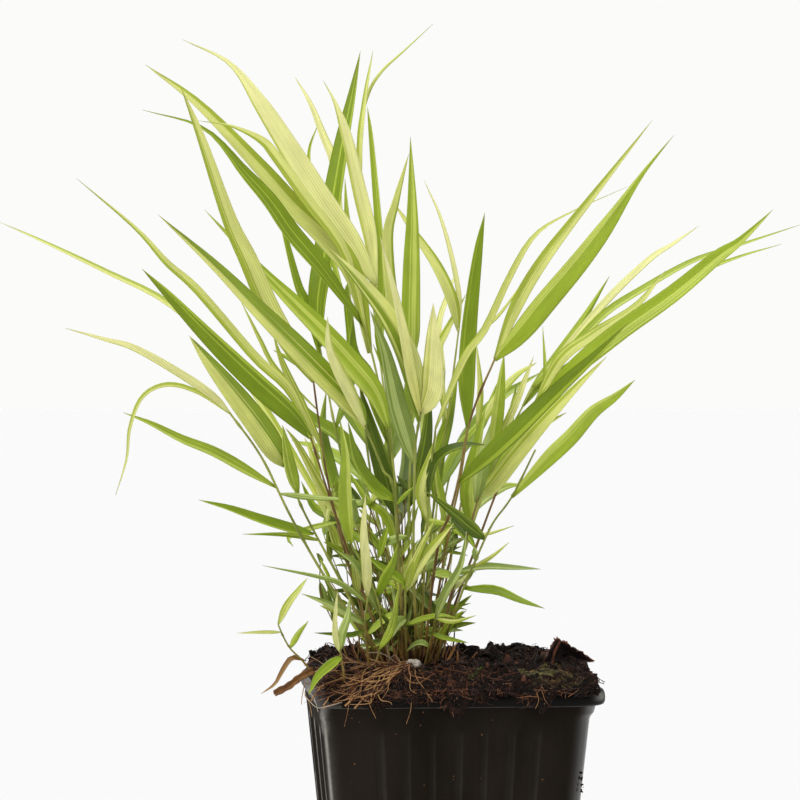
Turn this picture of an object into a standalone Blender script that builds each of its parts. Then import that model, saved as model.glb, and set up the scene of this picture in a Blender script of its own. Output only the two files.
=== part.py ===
"""A small potted forest grass: square nursery pot, peat, loose roots and a clump of leafy shoots.

The tables are in millimetres and the finished part is in metres, resting on z = 0.
"""
import math
import random

import bmesh
import bpy
from mathutils import Matrix, Vector

# Pot, in millimetres
POT_HEIGHT = 95.0
RIM_HALF = 45.0
RIM_CORNER = 10.0
RIM_DROP = 5.2
NECK_HALF = 42.8
NECK_DROP = 8.2
WALL_TOP_HALF = 41.6
BASE_HALF = 33.0
WALL_SHIFT = -1.0
WALL = 1.2
FLOOR = 1.6
FRONT_RIBS = (-24.3, -16.2, -8.1, 0.0, 8.1, 16.2, 24.3)
SIDE_RIBS = (-26.0, 0.0, 26.0)
RIB_HALF_WIDTH = 1.3
RIB_DEPTH = 0.7
RIB_LOW = 3.0
RIB_HIGH = 80.0
CORNER_STEPS = 4
HOLE_RADIUS = 3.2
HOLE_OFFSET = 17.0

# Peat, in millimetres
GAP = 0.3
PEAT_HALF = 44.2
PEAT_CROWN = 5.2
PEAT_EDGE = 1.6
PEAT_SHARES = (0.985, 0.88, 0.70, 0.48, 0.24)
CULM_LIFT = 0.55

# The clump is laid out as it is seen from the front: each point is (across, up),
# up is measured from the top of the rim, and a shoot lies on a page that leans
# towards the viewer (minus) or away from the viewer (plus)
VIEW_DISTANCE = 960.0
VIEW_SIDE = -15.35
VIEW_RISE = 89.0
VIEW_TURN = Matrix.Rotation(math.radians(-5.5), 3, "Z")
CROWN = Vector((-11.5, 5.0))
CROWN_REACH = 20.0
SPREAD = 1.3
BLADE_FAN = 0.016
TURN_GAIN = 1.6
CULM_SIDES = 4
CULM_TIP = 0.6
LONG_SPAN = 18.0
PLAIN_SHARES = (0.0, 0.12, 0.34, 0.68)
CURLED_SHARES = (0.0, 0.10, 0.28, 0.50, 0.72, 0.89)

# How a blade's width runs: at its foot, where it is widest, how full it stays beyond,
# how slim it is against its width in the table, and how a long tip draws out
FOOT_WIDTH = 0.22
WIDEST_AT = 0.28
FULLNESS = 1.85
SLIMNESS = 0.87
TIP_FROM = 0.62
TIP_OVER = 0.26
TIP_DRAW = 0.55
LEAST_HALF = 0.3
LEAST_KEEL = 0.22
KEEL_GAIN = 0.16

# The small pieces on the peat and the rim, in millimetres; outlines are given as seen
MAT_LEFT = -43.5
MAT_LENGTH = 38.0
MAT_STEPS = 12
CHIP_OUTLINE = ((30.6, 5.6), (33.0, 9.6), (34.8, 12.3), (36.8, 11.6), (41.2, 9.0),
                (46.0, 5.7), (44.0, 5.0), (38.5, 4.8), (33.6, 4.8))
CHIP_MIDDLE = Vector((38.0, 6.6))
CHIP_LAYERS = ((-12.0, 0.86), (-10.6, 1.0), (-7.4, 1.0), (-6.0, 0.8))
DRY_LINE = ((-43, 2.4), (-47, 0.4), (-51, -2.6), (-55.6, -5.0))
DRY_LEAN = -0.62
DRY_HALF = 1.15
DRY_THICK = 0.25
PERLITE_CENTRE = (-14.2, -31.0, 102.0)
PERLITE_SIZE = (2.3, 1.9, 1.5)
PERLITE_TURN = 15
MM = 0.001

# Blade tones: c cream, y lime, t and u two-tone, g green, d dark, m mossy, s grey-green, b dry.
# A shoot is (tone, lean, culm radius, culm points, blades) and
# a blade is (tone, widest, turn, points from its base to its tip).
SHOOTS = {
    # Shoots that reach to the left
    "shoot_01": ("y", -0.50, 0.60, [(-19, 5), (-38, 30), (-50, 51), (-60, 71), (-70, 85)], [
        ("c", 2.8, 15, [(-70, 85), (-75, 90), (-85, 97), (-100, 105.5), (-110, 108.5), (-122.5, 112)]),
        ("y", 1.5, 30, [(-69, 84), (-80, 91.5), (-90, 94), (-98, 90), (-102, 80), (-103, 70),
            (-106.5, 58.5)]),
        ("g", 3.4, 20, [(-55, 61), (-65, 67), (-75, 72.5), (-85, 76.5), (-95, 81.5), (-104, 85)]),
        ("s", 2.0, 20, [(-54, 59), (-46, 58), (-38, 57.4), (-27.6, 57)]),
    ]),
    "shoot_02": ("g", -0.30, 0.55, [(-20, 5), (-36, 34), (-46, 53), (-52, 68)], [
        ("t", 8.6, 15, [(-52, 68), (-55, 72.5), (-60, 80), (-66, 88), (-72, 95.5), (-78, 103),
            (-83, 109.7)]),
        ("g", 4.2, 25, [(-48, 59), (-51, 70), (-53, 81)]),
        ("d", 3.4, 20, [(-43, 46), (-50, 48), (-60, 51), (-70, 54.5), (-80, 57)]),
        ("g", 1.8, 20, [(-41, 44), (-48, 45.5), (-55, 46), (-66, 46)]),
    ]),
    "shoot_03": ("d", -0.22, 0.55, [(-18, 5), (-29, 32), (-37, 55), (-44, 77)], [
        ("d", 7.5, 10, [(-44, 77), (-50, 84), (-60, 93), (-70, 102.5), (-80, 112.5), (-90, 123),
            (-98, 131)]),
        ("y", 3.4, 15, [(-41, 70), (-50, 91), (-62, 103), (-80, 124), (-90, 133), (-100, 144),
            (-119, 160)]),
        ("g", 2.0, 15, [(-35, 50), (-44, 48), (-51, 45), (-49.5, 42)]),
    ]),
    "shoot_04": ("t", -0.40, 0.60, [(-14, 5), (-17, 57), (-21, 67), (-26.5, 81)], [
        ("y", 4.4, 25, [(-26.3, 80), (-31, 91), (-35, 98.5), (-38, 106), (-38.6, 115.7)]),
        ("t", 8.2, 15, [(-26.5, 81), (-30, 87), (-40, 97.4), (-50, 107.6), (-60, 117.5), (-75, 132.5),
            (-93, 148.5)]),
        ("d", 4.5, 20, [(-17, 57), (-23, 61), (-29, 70), (-32, 82)]),
    ]),
    "shoot_05": ("t", -0.14, 0.55, [(-14, 5), (-16, 40), (-17, 62), (-19, 80)], [
        ("g", 7.8, 15, [(-19, 80), (-23, 91), (-30, 100), (-40, 111), (-50, 121), (-60, 131), (-78, 150)]),
        ("d", 7.0, 25, [(-16.6, 52), (-20, 64), (-24, 78), (-28, 93)]),
        ("g", 3.2, 20, [(-16, 40), (-20, 52), (-26, 57), (-33, 68)]),
    ]),
    "shoot_06": ("y", -0.18, 0.50, [(-22, 5), (-33, 40), (-39, 66), (-43, 95)], [
        ("y", 7.2, 20, [(-43, 95), (-50, 106), (-57, 118), (-64, 134), (-70, 147), (-79, 173),
            (-85.5, 189)]),
        ("y", 3.0, 20, [(-40, 73), (-47, 88), (-53, 101), (-56, 110)]),
        ("y", 4.0, 20, [(-33, 40), (-33, 51), (-38, 56.6), (-42.4, 64.3), (-48, 74.6), (-52, 80)]),
        ("y", 1.6, 20, [(-42, 86), (-55, 99), (-60, 108), (-63, 114), (-66.5, 121)]),
    ]),
    "shoot_07": ("g", -0.06, 0.60, [(-14, 5), (-17, 45), (-19, 75), (-23, 98), (-27, 113)], [
        ("d", 6.2, 15, [(-27, 113), (-40, 131), (-50, 143), (-57, 153), (-65, 162), (-78, 176),
            (-98, 182)]),
        ("y", 4.2, 15, [(-26, 110), (-33, 136), (-45, 153), (-55, 167), (-60, 172.5), (-70, 177),
            (-80, 178.5)]),
        ("y", 8.2, 15, [(-25, 104), (-30, 129), (-40, 142.5), (-50, 152), (-60, 163.5),
            (-80, 184), (-97, 196.5)]),
        ("d", 5.5, 25, [(-19, 75), (-25, 95), (-30, 104), (-30.5, 116)]),
    ]),
    "shoot_08": ("c", 0.03, 0.60, [(-12, 5), (-16, 50), (-19, 85), (-22, 112), (-23, 126)], [
        ("c", 9.0, 12, [(-23, 126), (-30, 138), (-40, 152.5), (-50, 168.5), (-60, 184),
            (-70, 197), (-85, 204.5)]),
        ("c", 5.5, 12, [(-23, 125), (-25, 142), (-28, 155), (-32, 172), (-36, 184), (-40, 191.5)]),
        ("d", 3.6, 20, [(-20, 96), (-22, 110), (-21, 125), (-22, 142), (-24.5, 172), (-25.8, 183)]),
    ]),
    "shoot_09": ("d", 0.19, 0.55, [(-16, 5), (-28, 45), (-36, 80), (-41, 106)], [
        ("d", 7.8, 15, [(-41, 106), (-42, 120), (-40, 135), (-37, 155), (-34, 172), (-31, 186),
            (-28, 201)]),
        ("d", 3.4, 20, [(-40, 100), (-45, 119), (-48, 126), (-52, 141), (-55, 152.5)]),
        ("d", 4.0, 25, [(-36, 80), (-32, 92), (-31, 107), (-32.5, 122), (-31.5, 128)]),
    ]),
    "shoot_10": ("g", 0.27, 0.50, [(-22, 5), (-29, 25), (-32, 38)], [
        ("y", 3.0, 25, [(-32, 36), (-40, 57), (-43, 70), (-46, 77)]),
        ("y", 2.6, 20, [(-32, 38), (-44, 62), (-66, 97), (-88, 119), (-110, 130.5), (-130, 140),
            (-143.6, 146)]),
    ]),
    "shoot_11": ("y", 0.36, 0.50, [(-15, 5), (-24, 60), (-30, 110), (-34, 148)], [
        ("y", 3.4, 20, [(-34, 148), (-36.5, 165), (-40, 174), (-44, 184), (-49, 192.5)]),
        ("g", 2.0, 20, [(-30, 110), (-38, 138), (-44.5, 165), (-41.5, 178)]),
        ("d", 5.5, 30, [(-24, 60), (-33, 76), (-44, 84), (-55, 96)]),
    ]),
    # Shoots in the middle
    "shoot_12": ("t", -0.46, 0.60, [(-10, 5), (-11, 40), (-10.8, 60), (-10.4, 74), (-8.6, 85)], [
        ("c", 7.6, 30, [(-8.6, 85), (-5.6, 92), (-4.8, 100), (-4.6, 110), (-4.7, 120)]),
        ("c", 3.8, 25, [(-8.8, 84), (-11.5, 97), (-14, 110), (-17.4, 125), (-21.8, 141.7)]),
        ("u", 7.6, 15, [(-9, 82), (-11.5, 99), (-18, 114), (-28, 127), (-38.3, 137.7)]),
        ("s", 6.8, 12, [(-10.7, 68.6), (-13, 77), (-16, 87), (-18, 96), (-20.4, 106), (-25, 118)]),
    ]),
    "shoot_13": ("y", -0.58, 0.50, [(-13, 5), (-13.6, 16), (-13.6, 28)], [
        ("y", 4.6, 15, [(-13.6, 28), (-10.5, 35), (-5, 42), (2, 49.6)]),
        ("y", 2.6, 20, [(-13.6, 27), (-11.4, 35), (-8, 43), (-4, 51)]),
        ("s", 3.6, 20, [(-13.4, 19), (-15.6, 18), (-17.2, 15.5), (-18, 12.4)]),
        ("g", 2.0, 20, [(-13.3, 17), (-8, 19), (-2, 20), (3.5, 19)]),
        ("d", 3.0, 20, [(-13.6, 30), (-17, 33), (-22, 36), (-27, 40)]),
    ]),
    "shoot_14": ("g", -0.10, 0.55, [(-11, 5), (-12.5, 40), (-12, 75), (-11.3, 102)], [
        ("g", 6.8, 12, [(-11.3, 102), (-11.9, 112), (-11.6, 132), (-11.4, 150), (-12, 173.5)]),
        ("y", 4.4, 15, [(-11.5, 97), (-17, 116), (-19.3, 140), (-16.6, 153), (-12.5, 168)]),
        ("d", 6.2, 20, [(-12.2, 72), (-15, 86), (-18.5, 99), (-22, 112)]),
        ("m", 5.6, 25, [(-12.4, 55), (-9, 66), (-6.5, 80), (-6, 96)]),
    ]),
    "shoot_15": ("g", 0.07, 0.50, [(-9, 5), (-5, 50), (0, 85), (3.4, 111)], [
        ("g", 4.4, 15, [(3.4, 111), (1.5, 121), (-3.5, 132), (-11, 143), (-18, 153)]),
        ("c", 1.9, 15, [(3.4, 110), (3.6, 122), (1, 136), (-2.7, 148.5), (-7.7, 159.5)]),
        ("y", 3.6, 20, [(-0.5, 82), (-3.4, 103), (-0.6, 111), (5.9, 123)]),
        ("d", 5.6, 25, [(-4, 57), (-3.6, 70), (0, 82), (3, 95)]),
    ]),
    "shoot_16": ("d", -0.02, 0.50, [(-7, 5), (-1, 40), (4, 64), (6.4, 80)], [
        ("d", 6.2, 10, [(6.4, 80), (6, 96), (7, 114), (9.6, 136), (11.8, 149)]),
        ("g", 3.4, 25, [(-1, 40), (-0.5, 50), (-3, 62), (-4.3, 73)]),
    ]),
    "shoot_17": ("y", 0.46, 0.50, [(-12, 5), (-18, 70), (-24, 120), (-28, 157)], [
        ("y", 2.4, 20, [(-28, 157), (-28.3, 171), (-26.5, 187), (-24, 201)]),
        ("y", 1.5, 15, [(-27.8, 155), (-28.6, 173), (-26, 186), (-21.5, 194), (-14, 201), (-4.8, 209.5)]),
        ("g", 3.6, 25, [(-24, 120), (-29, 132), (-32, 145), (-33, 160)]),
        ("d", 6.0, 30, [(-18, 70), (-13, 84), (-12, 100), (-15, 118)]),
    ]),
    "shoot_18": ("y", 0.56, 0.45, [(-9, 5), (-3, 60), (-1, 98)], [
        ("c", 2.4, 20, [(-1, 98), (-3, 112), (0, 123), (2.8, 130)]),
        ("d", 5.0, 30, [(-3, 60), (3, 72), (11, 82), (16, 95)]),
    ]),
    # Shoots that reach to the right
    "shoot_19": ("c", -0.48, 0.50, [(-5, 5), (1, 18), (5, 28.6), (9, 38), (14, 49), (20.5, 58), (28, 73)], [
        ("g", 5.4, 15, [(20.5, 58), (32, 70), (39.3, 77), (46.5, 85), (53.6, 90), (60, 95.5)]),
        ("d", 4.6, 25, [(11.8, 44.6), (7, 48.4), (1, 53.6), (-7.4, 60)]),
        ("d", 3.2, 15, [(5, 28.6), (15, 28.2), (23, 25), (31, 22.2)]),
        ("y", 1.4, 20, [(8, 35.4), (14, 38.8), (19.6, 43.4)]),
    ]),
    "shoot_20": ("g", -0.38, 0.60, [(-8, 5), (-3.5, 41), (0.4, 52), (3.5, 64), (7.3, 83), (15, 102)], [
        ("g", 7.4, 15, [(15, 102), (22.4, 109.6), (31.9, 121), (42.2, 133.2), (51.4, 145.4),
            (62, 161), (72.5, 174)]),
        ("y", 4.5, 15, [(15, 102), (20, 115), (25, 125), (31.4, 135), (38.6, 144.5), (50.8, 160),
            (65.6, 178.8)]),
        ("d", 6.0, 15, [(3.2, 62.4), (12.8, 71.2), (23, 80.6), (36, 93.2), (47, 103.2), (58, 114)]),
    ]),
    "shoot_21": ("s", -0.28, 0.50, [(-9, 5), (-7, 45), (-5, 70), (-4, 80)], [
        ("y", 2.6, 20, [(-4, 80), (1.6, 94.5), (6, 104), (12, 112), (20, 129), (28, 142),
            (40, 149.5), (57.6, 157.4)]),
        ("d", 3.4, 20, [(-6.4, 58), (-5, 68), (-0.4, 73), (6, 74.8), (12.2, 74.6)]),
        ("y", 3.4, 20, [(-6.8, 50), (-9, 60), (-6, 70), (-3.4, 78)]),
        ("y", 1.5, 15, [(-4.2, 79), (8, 107), (17, 117), (26, 129.5)]),
    ]),
    "shoot_22": ("g", -0.20, 0.50, [(-4, 5), (2, 30), (8, 52), (14.4, 72)], [
        ("g", 4.4, 15, [(14.4, 72), (16.4, 88), (18, 104)]),
        ("c", 2.8, 20, [(14.2, 71), (22, 88.7), (27.5, 103)]),
        ("s", 5.2, 20, [(9, 56), (11, 68), (14, 78), (15.7, 86)]),
        ("s", 2.6, 15, [(3, 34), (11, 35.8), (21, 35.4), (29.8, 34.8)]),
        ("y", 6.2, 15, [(10.2, 58.6), (14, 61.4), (22, 71.6), (30, 81), (40, 92), (51, 103)]),
    ]),
    "shoot_23": ("g", -0.08, 0.55, [(-5, 5), (6, 34), (17, 63), (28, 88)], [
        ("g", 6.8, 15, [(28, 88), (40, 99), (55, 111), (72, 123), (86.5, 135), (93.6, 140),
            (104.4, 150.2)]),
        ("y", 4.2, 20, [(27.6, 87), (36, 102), (46.5, 110), (60, 119), (69.7, 130.5)]),
        ("g", 3.0, 20, [(17.5, 64), (26, 76), (31, 92), (30.4, 112.7)]),
        ("y", 2.6, 20, [(20, 70), (28, 79), (38, 85)]),
    ]),
    "shoot_24": ("d", 0.06, 0.55, [(-5, 5), (4, 36), (14, 66), (27, 93)], [
        ("g", 2.8, 15, [(27, 93), (38, 104), (50, 116.6), (62, 124.5), (78, 133.5), (93.6, 138.8),
            (113, 145.2)]),
        ("c", 2.8, 15, [(26.8, 92.4), (43, 112), (53.5, 123.7), (65, 134.5), (72, 139), (80.4, 144.8)]),
        ("g", 3.8, 20, [(24, 87), (32, 98.7), (43, 114.5), (51.8, 128.7)]),
        ("g", 1.9, 15, [(26.5, 92), (55, 112), (80, 129), (92, 134.5), (107, 139)]),
    ]),
    "shoot_25": ("d", 0.20, 0.50, [(-6, 5), (2, 30), (7, 48), (11.5, 61)], [
        ("d", 5.6, 25, [(11.5, 61), (17, 72), (26, 83), (38, 91)]),
        ("g", 5.0, 25, [(7.4, 49), (6, 60), (9, 74), (12, 86)]),
        ("y", 1.3, 20, [(6.8, 47), (12, 46), (21.4, 48.8)]),
    ]),
    "shoot_26": ("g", 0.34, 0.50, [(-7, 5), (0, 34), (5, 60), (9.5, 80)], [
        ("g", 2.6, 25, [(9.5, 80), (10.4, 93), (9, 108)]),
        ("y", 3.2, 20, [(9.3, 79), (16, 90), (22, 97), (28.5, 101)]),
        ("d", 5.0, 30, [(5, 60), (13, 69), (19, 80), (22, 94)]),
    ]),
    # Short shoots around the foot of the clump
    "shoot_27": ("y", -0.66, 0.45, [(-25, 5), (-26.5, 16), (-25.7, 26)], [
        ("c", 3.6, 15, [(-25.7, 26), (-26, 35), (-27, 47), (-26.4, 59.3)]),
        ("g", 2.8, 15, [(-26.5, 17), (-33, 21), (-39, 24), (-47, 27)]),
        ("s", 1.8, 20, [(-25.9, 24), (-34, 30), (-42, 32.5), (-59.5, 36)]),
        ("m", 1.8, 20, [(-26.6, 15), (-31, 13.8), (-36, 14), (-43, 14.4)]),
    ]),
    "shoot_28": ("g", -0.84, 0.50, [(-33, 5), (-34.5, 9)], [
        ("g", 3.2, 20, [(-34.5, 9), (-34, 14), (-32, 20), (-31.5, 26)]),
        ("d", 3.2, 20, [(-34, 7), (-38, 4), (-42, 0), (-44.7, -5.6)]),
        ("c", 2.2, 20, [(-34.4, 8), (-36.2, 15), (-35.4, 28)]),
    ]),
    "shoot_29": ("y", -0.36, 0.40, [(-41, 5), (-47, 6), (-51, 10), (-54.4, 17)], [
        ("y", 2.6, 15, [(-54.4, 17), (-51.7, 23), (-48, 28), (-45, 32)]),
        ("g", 2.2, 15, [(-50.6, 9.5), (-48, 14), (-44.7, 18.2)]),
        ("y", 1.2, 15, [(-53.4, 14.6), (-60, 14.6), (-67.6, 14.3)]),
        ("b", 1.8, 20, [(-46, 5.6), (-50, 6.4), (-53, 2.5), (-55.5, -2), (-60, -5.2)]),
    ]),
    "shoot_30": ("g", -0.74, 0.45, [(-24, 5), (-22, 9)], [
        ("g", 2.8, 20, [(-22, 9), (-18.5, 15), (-17, 21), (-15.6, 30)]),
    ]),
    "shoot_31": ("s", -0.64, 0.45, [(-8, 5), (-6, 10), (-4, 19)], [
        ("s", 2.0, 20, [(-6, 10), (-8.2, 11.4), (-10.8, 10.8), (-13.5, 8.3)]),
        ("d", 1.8, 20, [(-5, 14.2), (0, 12.6), (6.6, 11.2)]),
        ("g", 3.0, 15, [(-4, 19), (-1, 27), (4, 36), (6, 47)]),
        ("y", 1.5, 20, [(-4, 19), (2, 18), (9, 20)]),
    ]),
    "shoot_32": ("d", -0.62, 0.45, [(-18, 5), (-21, 16), (-23, 26), (-27, 35), (-31, 43)], [
        ("g", 4.8, 12, [(-31, 43), (-32.6, 52), (-33, 62), (-33, 72), (-34.6, 83)]),
        ("d", 3.6, 20, [(-23, 26), (-20, 32), (-17.5, 37), (-16, 43)]),
        ("g", 3.0, 25, [(-22, 21), (-26, 31), (-30, 37), (-36, 41)]),
    ]),
    # Shoots at the back, seen between the others
    "shoot_33": ("d", 0.66, 0.50, [(-13, 5), (-20, 45), (-25, 74)], [
        ("d", 6.0, 30, [(-25, 74), (-33, 88), (-43, 98), (-56, 105)]),
        ("d", 5.0, 30, [(-23, 62), (-18, 76), (-18, 92), (-24, 107)]),
    ]),
    "shoot_34": ("d", 0.76, 0.50, [(-9, 5), (-4, 40), (1, 68)], [
        ("d", 5.6, 30, [(1, 68), (8, 80), (17, 90), (30, 98)]),
        ("g", 4.6, 30, [(-1, 57), (-6, 70), (-7, 86), (-3, 101)]),
    ]),
    "shoot_35": ("g", 0.88, 0.50, [(-12, 5), (-16, 34), (-20, 55)], [
        ("g", 5.4, 30, [(-20, 55), (-28, 66), (-39, 73), (-50, 76)]),
        ("d", 7.0, 30, [(-18, 45), (-14, 60), (-13, 74), (-17, 88)]),
    ]),
    "shoot_36": ("g", 1.00, 0.45, [(-8, 5), (-3, 28), (1, 45)], [
        ("g", 5.0, 30, [(1, 45), (8, 55), (17, 61), (24, 62)]),
        ("y", 4.6, 30, [(-1, 36), (-6, 48), (-7, 60), (-4, 70)]),
    ]),
    "shoot_37": ("d", 0.43, 0.50, [(-17, 5), (-27, 34), (-34, 56)], [
        ("d", 5.0, 30, [(-34, 56), (-38, 68), (-40, 80), (-39, 92)]),
        ("d", 3.6, 30, [(-31, 46), (-38, 52), (-43, 55), (-47, 63)]),
    ]),
}

# Which blades of a shoot, counted from 0, draw out into a long thin tip
LONG_TIPS = {"shoot_07": (0, 1), "shoot_08": (0, 1), "shoot_20": (0,), "shoot_21": (0,)}

# Slot of a shoot's material by its tone, and the colour of each slot
SLOT_OF_TONE = {
    "c": "leaf_cream",
    "y": "leaf_lime",
    "t": "leaf_lime",
    "g": "leaf_green",
    "d": "leaf_dark",
    "s": "leaf_green",
}
COLOURS = {
    "pot": (0.020, 0.018, 0.016, 0.42),
    "peat": (0.030, 0.018, 0.012, 0.95),
    "roots": (0.160, 0.062, 0.024, 0.85),
    "bark": (0.060, 0.030, 0.018, 0.90),
    "dry_leaf": (0.240, 0.125, 0.045, 0.80),
    "perlite": (0.640, 0.600, 0.520, 0.90),
    "leaf_cream": (0.720, 0.740, 0.300, 0.45),
    "leaf_lime": (0.440, 0.560, 0.110, 0.45),
    "leaf_green": (0.200, 0.360, 0.040, 0.42),
    "leaf_dark": (0.090, 0.190, 0.018, 0.40),
}


def material(slot):
    """The slot's plain material, made the first time that it is asked for."""
    found = bpy.data.materials.get(slot)
    if found:
        return found
    made = bpy.data.materials.new(slot)
    made.use_nodes = True
    shader = made.node_tree.nodes["Principled BSDF"]
    red, green, blue, rough = COLOURS[slot]
    shader.inputs["Base Color"].default_value = (red, green, blue, 1.0)
    shader.inputs["Roughness"].default_value = rough
    return made


def add_object(name, bm, slot, smooth):
    """Close the mesh off as a named object with its material."""
    bmesh.ops.recalc_face_normals(bm, faces=bm.faces)
    mesh = bpy.data.meshes.new(name)
    bm.to_mesh(mesh)
    bm.free()
    for polygon in mesh.polygons:
        polygon.use_smooth = smooth
    made = bpy.data.objects.new(name, mesh)
    made.data.materials.append(material(slot))
    bpy.context.scene.collection.objects.link(made)
    return made


def bridge(bm, low, high):
    """Join two rings that have different numbers of points."""
    edges = []
    for row in (low, high):
        for i, vert in enumerate(row):
            edge = (vert, row[(i + 1) % len(row)])
            edges.append(bm.edges.get(edge) or bm.edges.new(edge))
    bmesh.ops.bridge_loops(bm, edges=edges)


def split_outwards(bm, low, high, i, j):
    """Fill one side of a blade with two triangles that bulge away from its middle."""
    middle = Vector()
    for vert in low + high:
        middle += vert.co / 6
    rising = ((low[i].co + high[j].co) / 2 - middle).length
    falling = ((low[j].co + high[i].co) / 2 - middle).length
    if rising > falling:
        bm.faces.new((low[i], low[j], high[j]))
        bm.faces.new((low[i], high[j], high[i]))
    else:
        bm.faces.new((low[i], low[j], high[i]))
        bm.faces.new((low[j], high[j], high[i]))


def loft(bm, rings):
    """Skin a list of rings; a ring is a list of points, or one point for a tip."""
    rows = []
    for ring in rings:
        rows.append([bm.verts.new(point) for point in ring])
    for low, high in zip(rows, rows[1:]):
        count = max(len(low), len(high))
        if count > min(len(low), len(high)) > 1:
            bridge(bm, low, high)
            continue
        for i in range(count):
            j = (i + 1) % count
            if len(low) == 1:
                bm.faces.new((low[0], high[j], high[i]))
            elif len(high) == 1:
                bm.faces.new((low[i], low[j], high[0]))
            elif count == 3:
                split_outwards(bm, low, high, i, j)
            else:
                bm.faces.new((low[i], low[j], high[j], high[i]))
    for row in (rows[0], rows[-1]):
        if len(row) > 2:
            bm.faces.new(row)


def curve(points, share):
    """A point on the smooth curve through the points, share running from 0 to 1."""
    spans = len(points) - 1
    place = min(max(share, 0.0), 1.0) * spans
    i = min(int(place), spans - 1)
    t = place - i
    here = points[i]
    after = points[i + 1]
    before = points[i - 1] if i > 0 else here * 2 - after
    beyond = points[i + 2] if i + 2 <= spans else after * 2 - here
    return 0.5 * (
        here * 2
        + (after - before) * t
        + (before * 2 - here * 5 + after * 4 - beyond) * t * t
        + (here * 3 - before - after * 3 + beyond) * t * t * t
    )


def page_depth(across, up, lean):
    """How far behind the clump's middle plane a point of a page lies."""
    reach = (Vector((across, up)) - CROWN).length
    return lean * SPREAD * (reach + CROWN_REACH)


def seen_place(across, up, depth):
    """Carry a point, given as it is seen at a depth, into the part's own frame."""
    grow = (VIEW_DISTANCE + depth) / VIEW_DISTANCE
    x = (across - VIEW_SIDE) * grow + VIEW_SIDE
    z = (up - VIEW_RISE) * grow + VIEW_RISE + POT_HEIGHT
    return VIEW_TURN @ Vector((x, depth, z))


def place(across, up, lean):
    """Carry a point of a page, given as it is seen, into the part's own frame."""
    return seen_place(across, up, page_depth(across, up, lean))


def peat_height(x, y):
    """Height of the peat's surface above the rim, before its hollows."""
    out = max(abs(x), abs(y)) / PEAT_HALF
    fall = max(0.0, out - 0.8) / 0.2
    return PEAT_CROWN - (PEAT_CROWN - PEAT_EDGE) * fall * fall


def blade_width(share, long_tip):
    """Width of a blade along its length, as a part of its widest."""
    rise = FOOT_WIDTH + (1.0 - FOOT_WIDTH) * math.sin(min(share / WIDEST_AT, 1.0) * math.pi / 2)
    fall = 1.0 - max(0.0, (share - WIDEST_AT) / (1.0 - WIDEST_AT)) ** FULLNESS
    late = min(max((share - TIP_FROM) / TIP_OVER, 0.0), 1.0)
    drawn = TIP_DRAW * late * late * (3.0 - 2.0 * late) if long_tip else 0.0
    return SLIMNESS * rise * fall * (1.0 - drawn)


def frame_at(points, share):
    """Point, run and side of a curve, the side lying level with the view."""
    here = curve(points, share)
    ahead = curve(points, min(share + 0.02, 1.0))
    behind = curve(points, max(share - 0.02, 0.0))
    run = (ahead - behind).normalized()
    toward = VIEW_TURN @ Vector((0, -1, 0))
    side = run.cross(toward).normalized()
    return here, run, side


def blade_rings(points, widest, turn, long_tip):
    """Three-sided rings of a blade, keeled below and ending in a tip."""
    shares = CURLED_SHARES if len(points) > 5 else PLAIN_SHARES
    swing = math.radians(turn * TURN_GAIN)
    across = (points[-1] - points[0]).dot(VIEW_TURN @ Vector((1, 0, 0)))
    lift = -swing if across > 0 else swing
    rings = []
    for share in shares:
        here, run, side = frame_at(points, share)
        side = Matrix.Rotation(lift, 3, run) @ side
        below = run.cross(side).normalized()
        half = max(LEAST_HALF, 0.5 * widest * blade_width(share, long_tip) / math.cos(swing))
        keel = LEAST_KEEL + KEEL_GAIN * half
        rings.append([here - side * half, here + below * keel, here + side * half])
    rings.append([points[-1]])
    return rings


def culm_rings(points, radius):
    """Rings of a culm that thins towards its top."""
    spans = len(points) - 1
    shares = []
    for i in range(spans):
        shares.append(i / spans)
        if (points[i + 1] - points[i]).length > LONG_SPAN:
            shares.append((i + 0.5) / spans)
    shares.append(1.0)
    rings = []
    for share in shares:
        here, run, side = frame_at(points, share)
        below = run.cross(side).normalized()
        size = radius * (1.0 - (1.0 - CULM_TIP) * share)
        ring = []
        for k in range(CULM_SIDES):
            angle = 2 * math.pi * k / CULM_SIDES
            ring.append(here + (side * math.cos(angle) + below * math.sin(angle)) * size)
        rings.append(ring)
    return rings


def shoot_parts(lean, radius, culm, blades, long_tips):
    """The rings of a shoot: its culm first, then its blades."""
    stem = [place(across, up, lean) for across, up in culm]
    foot = stem[0]
    foot.z = POT_HEIGHT + peat_height(foot.x, foot.y) + CULM_LIFT
    parts = [culm_rings(stem, radius)]
    for i, (tone, widest, turn, line) in enumerate(blades):
        own_lean = lean + BLADE_FAN * (i - 0.5 * (len(blades) - 1))
        points = [place(across, up, own_lean) for across, up in line]
        points[0] = place(line[0][0], line[0][1], lean)
        parts.append(blade_rings(points, widest, turn, i in long_tips))
    return parts


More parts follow.
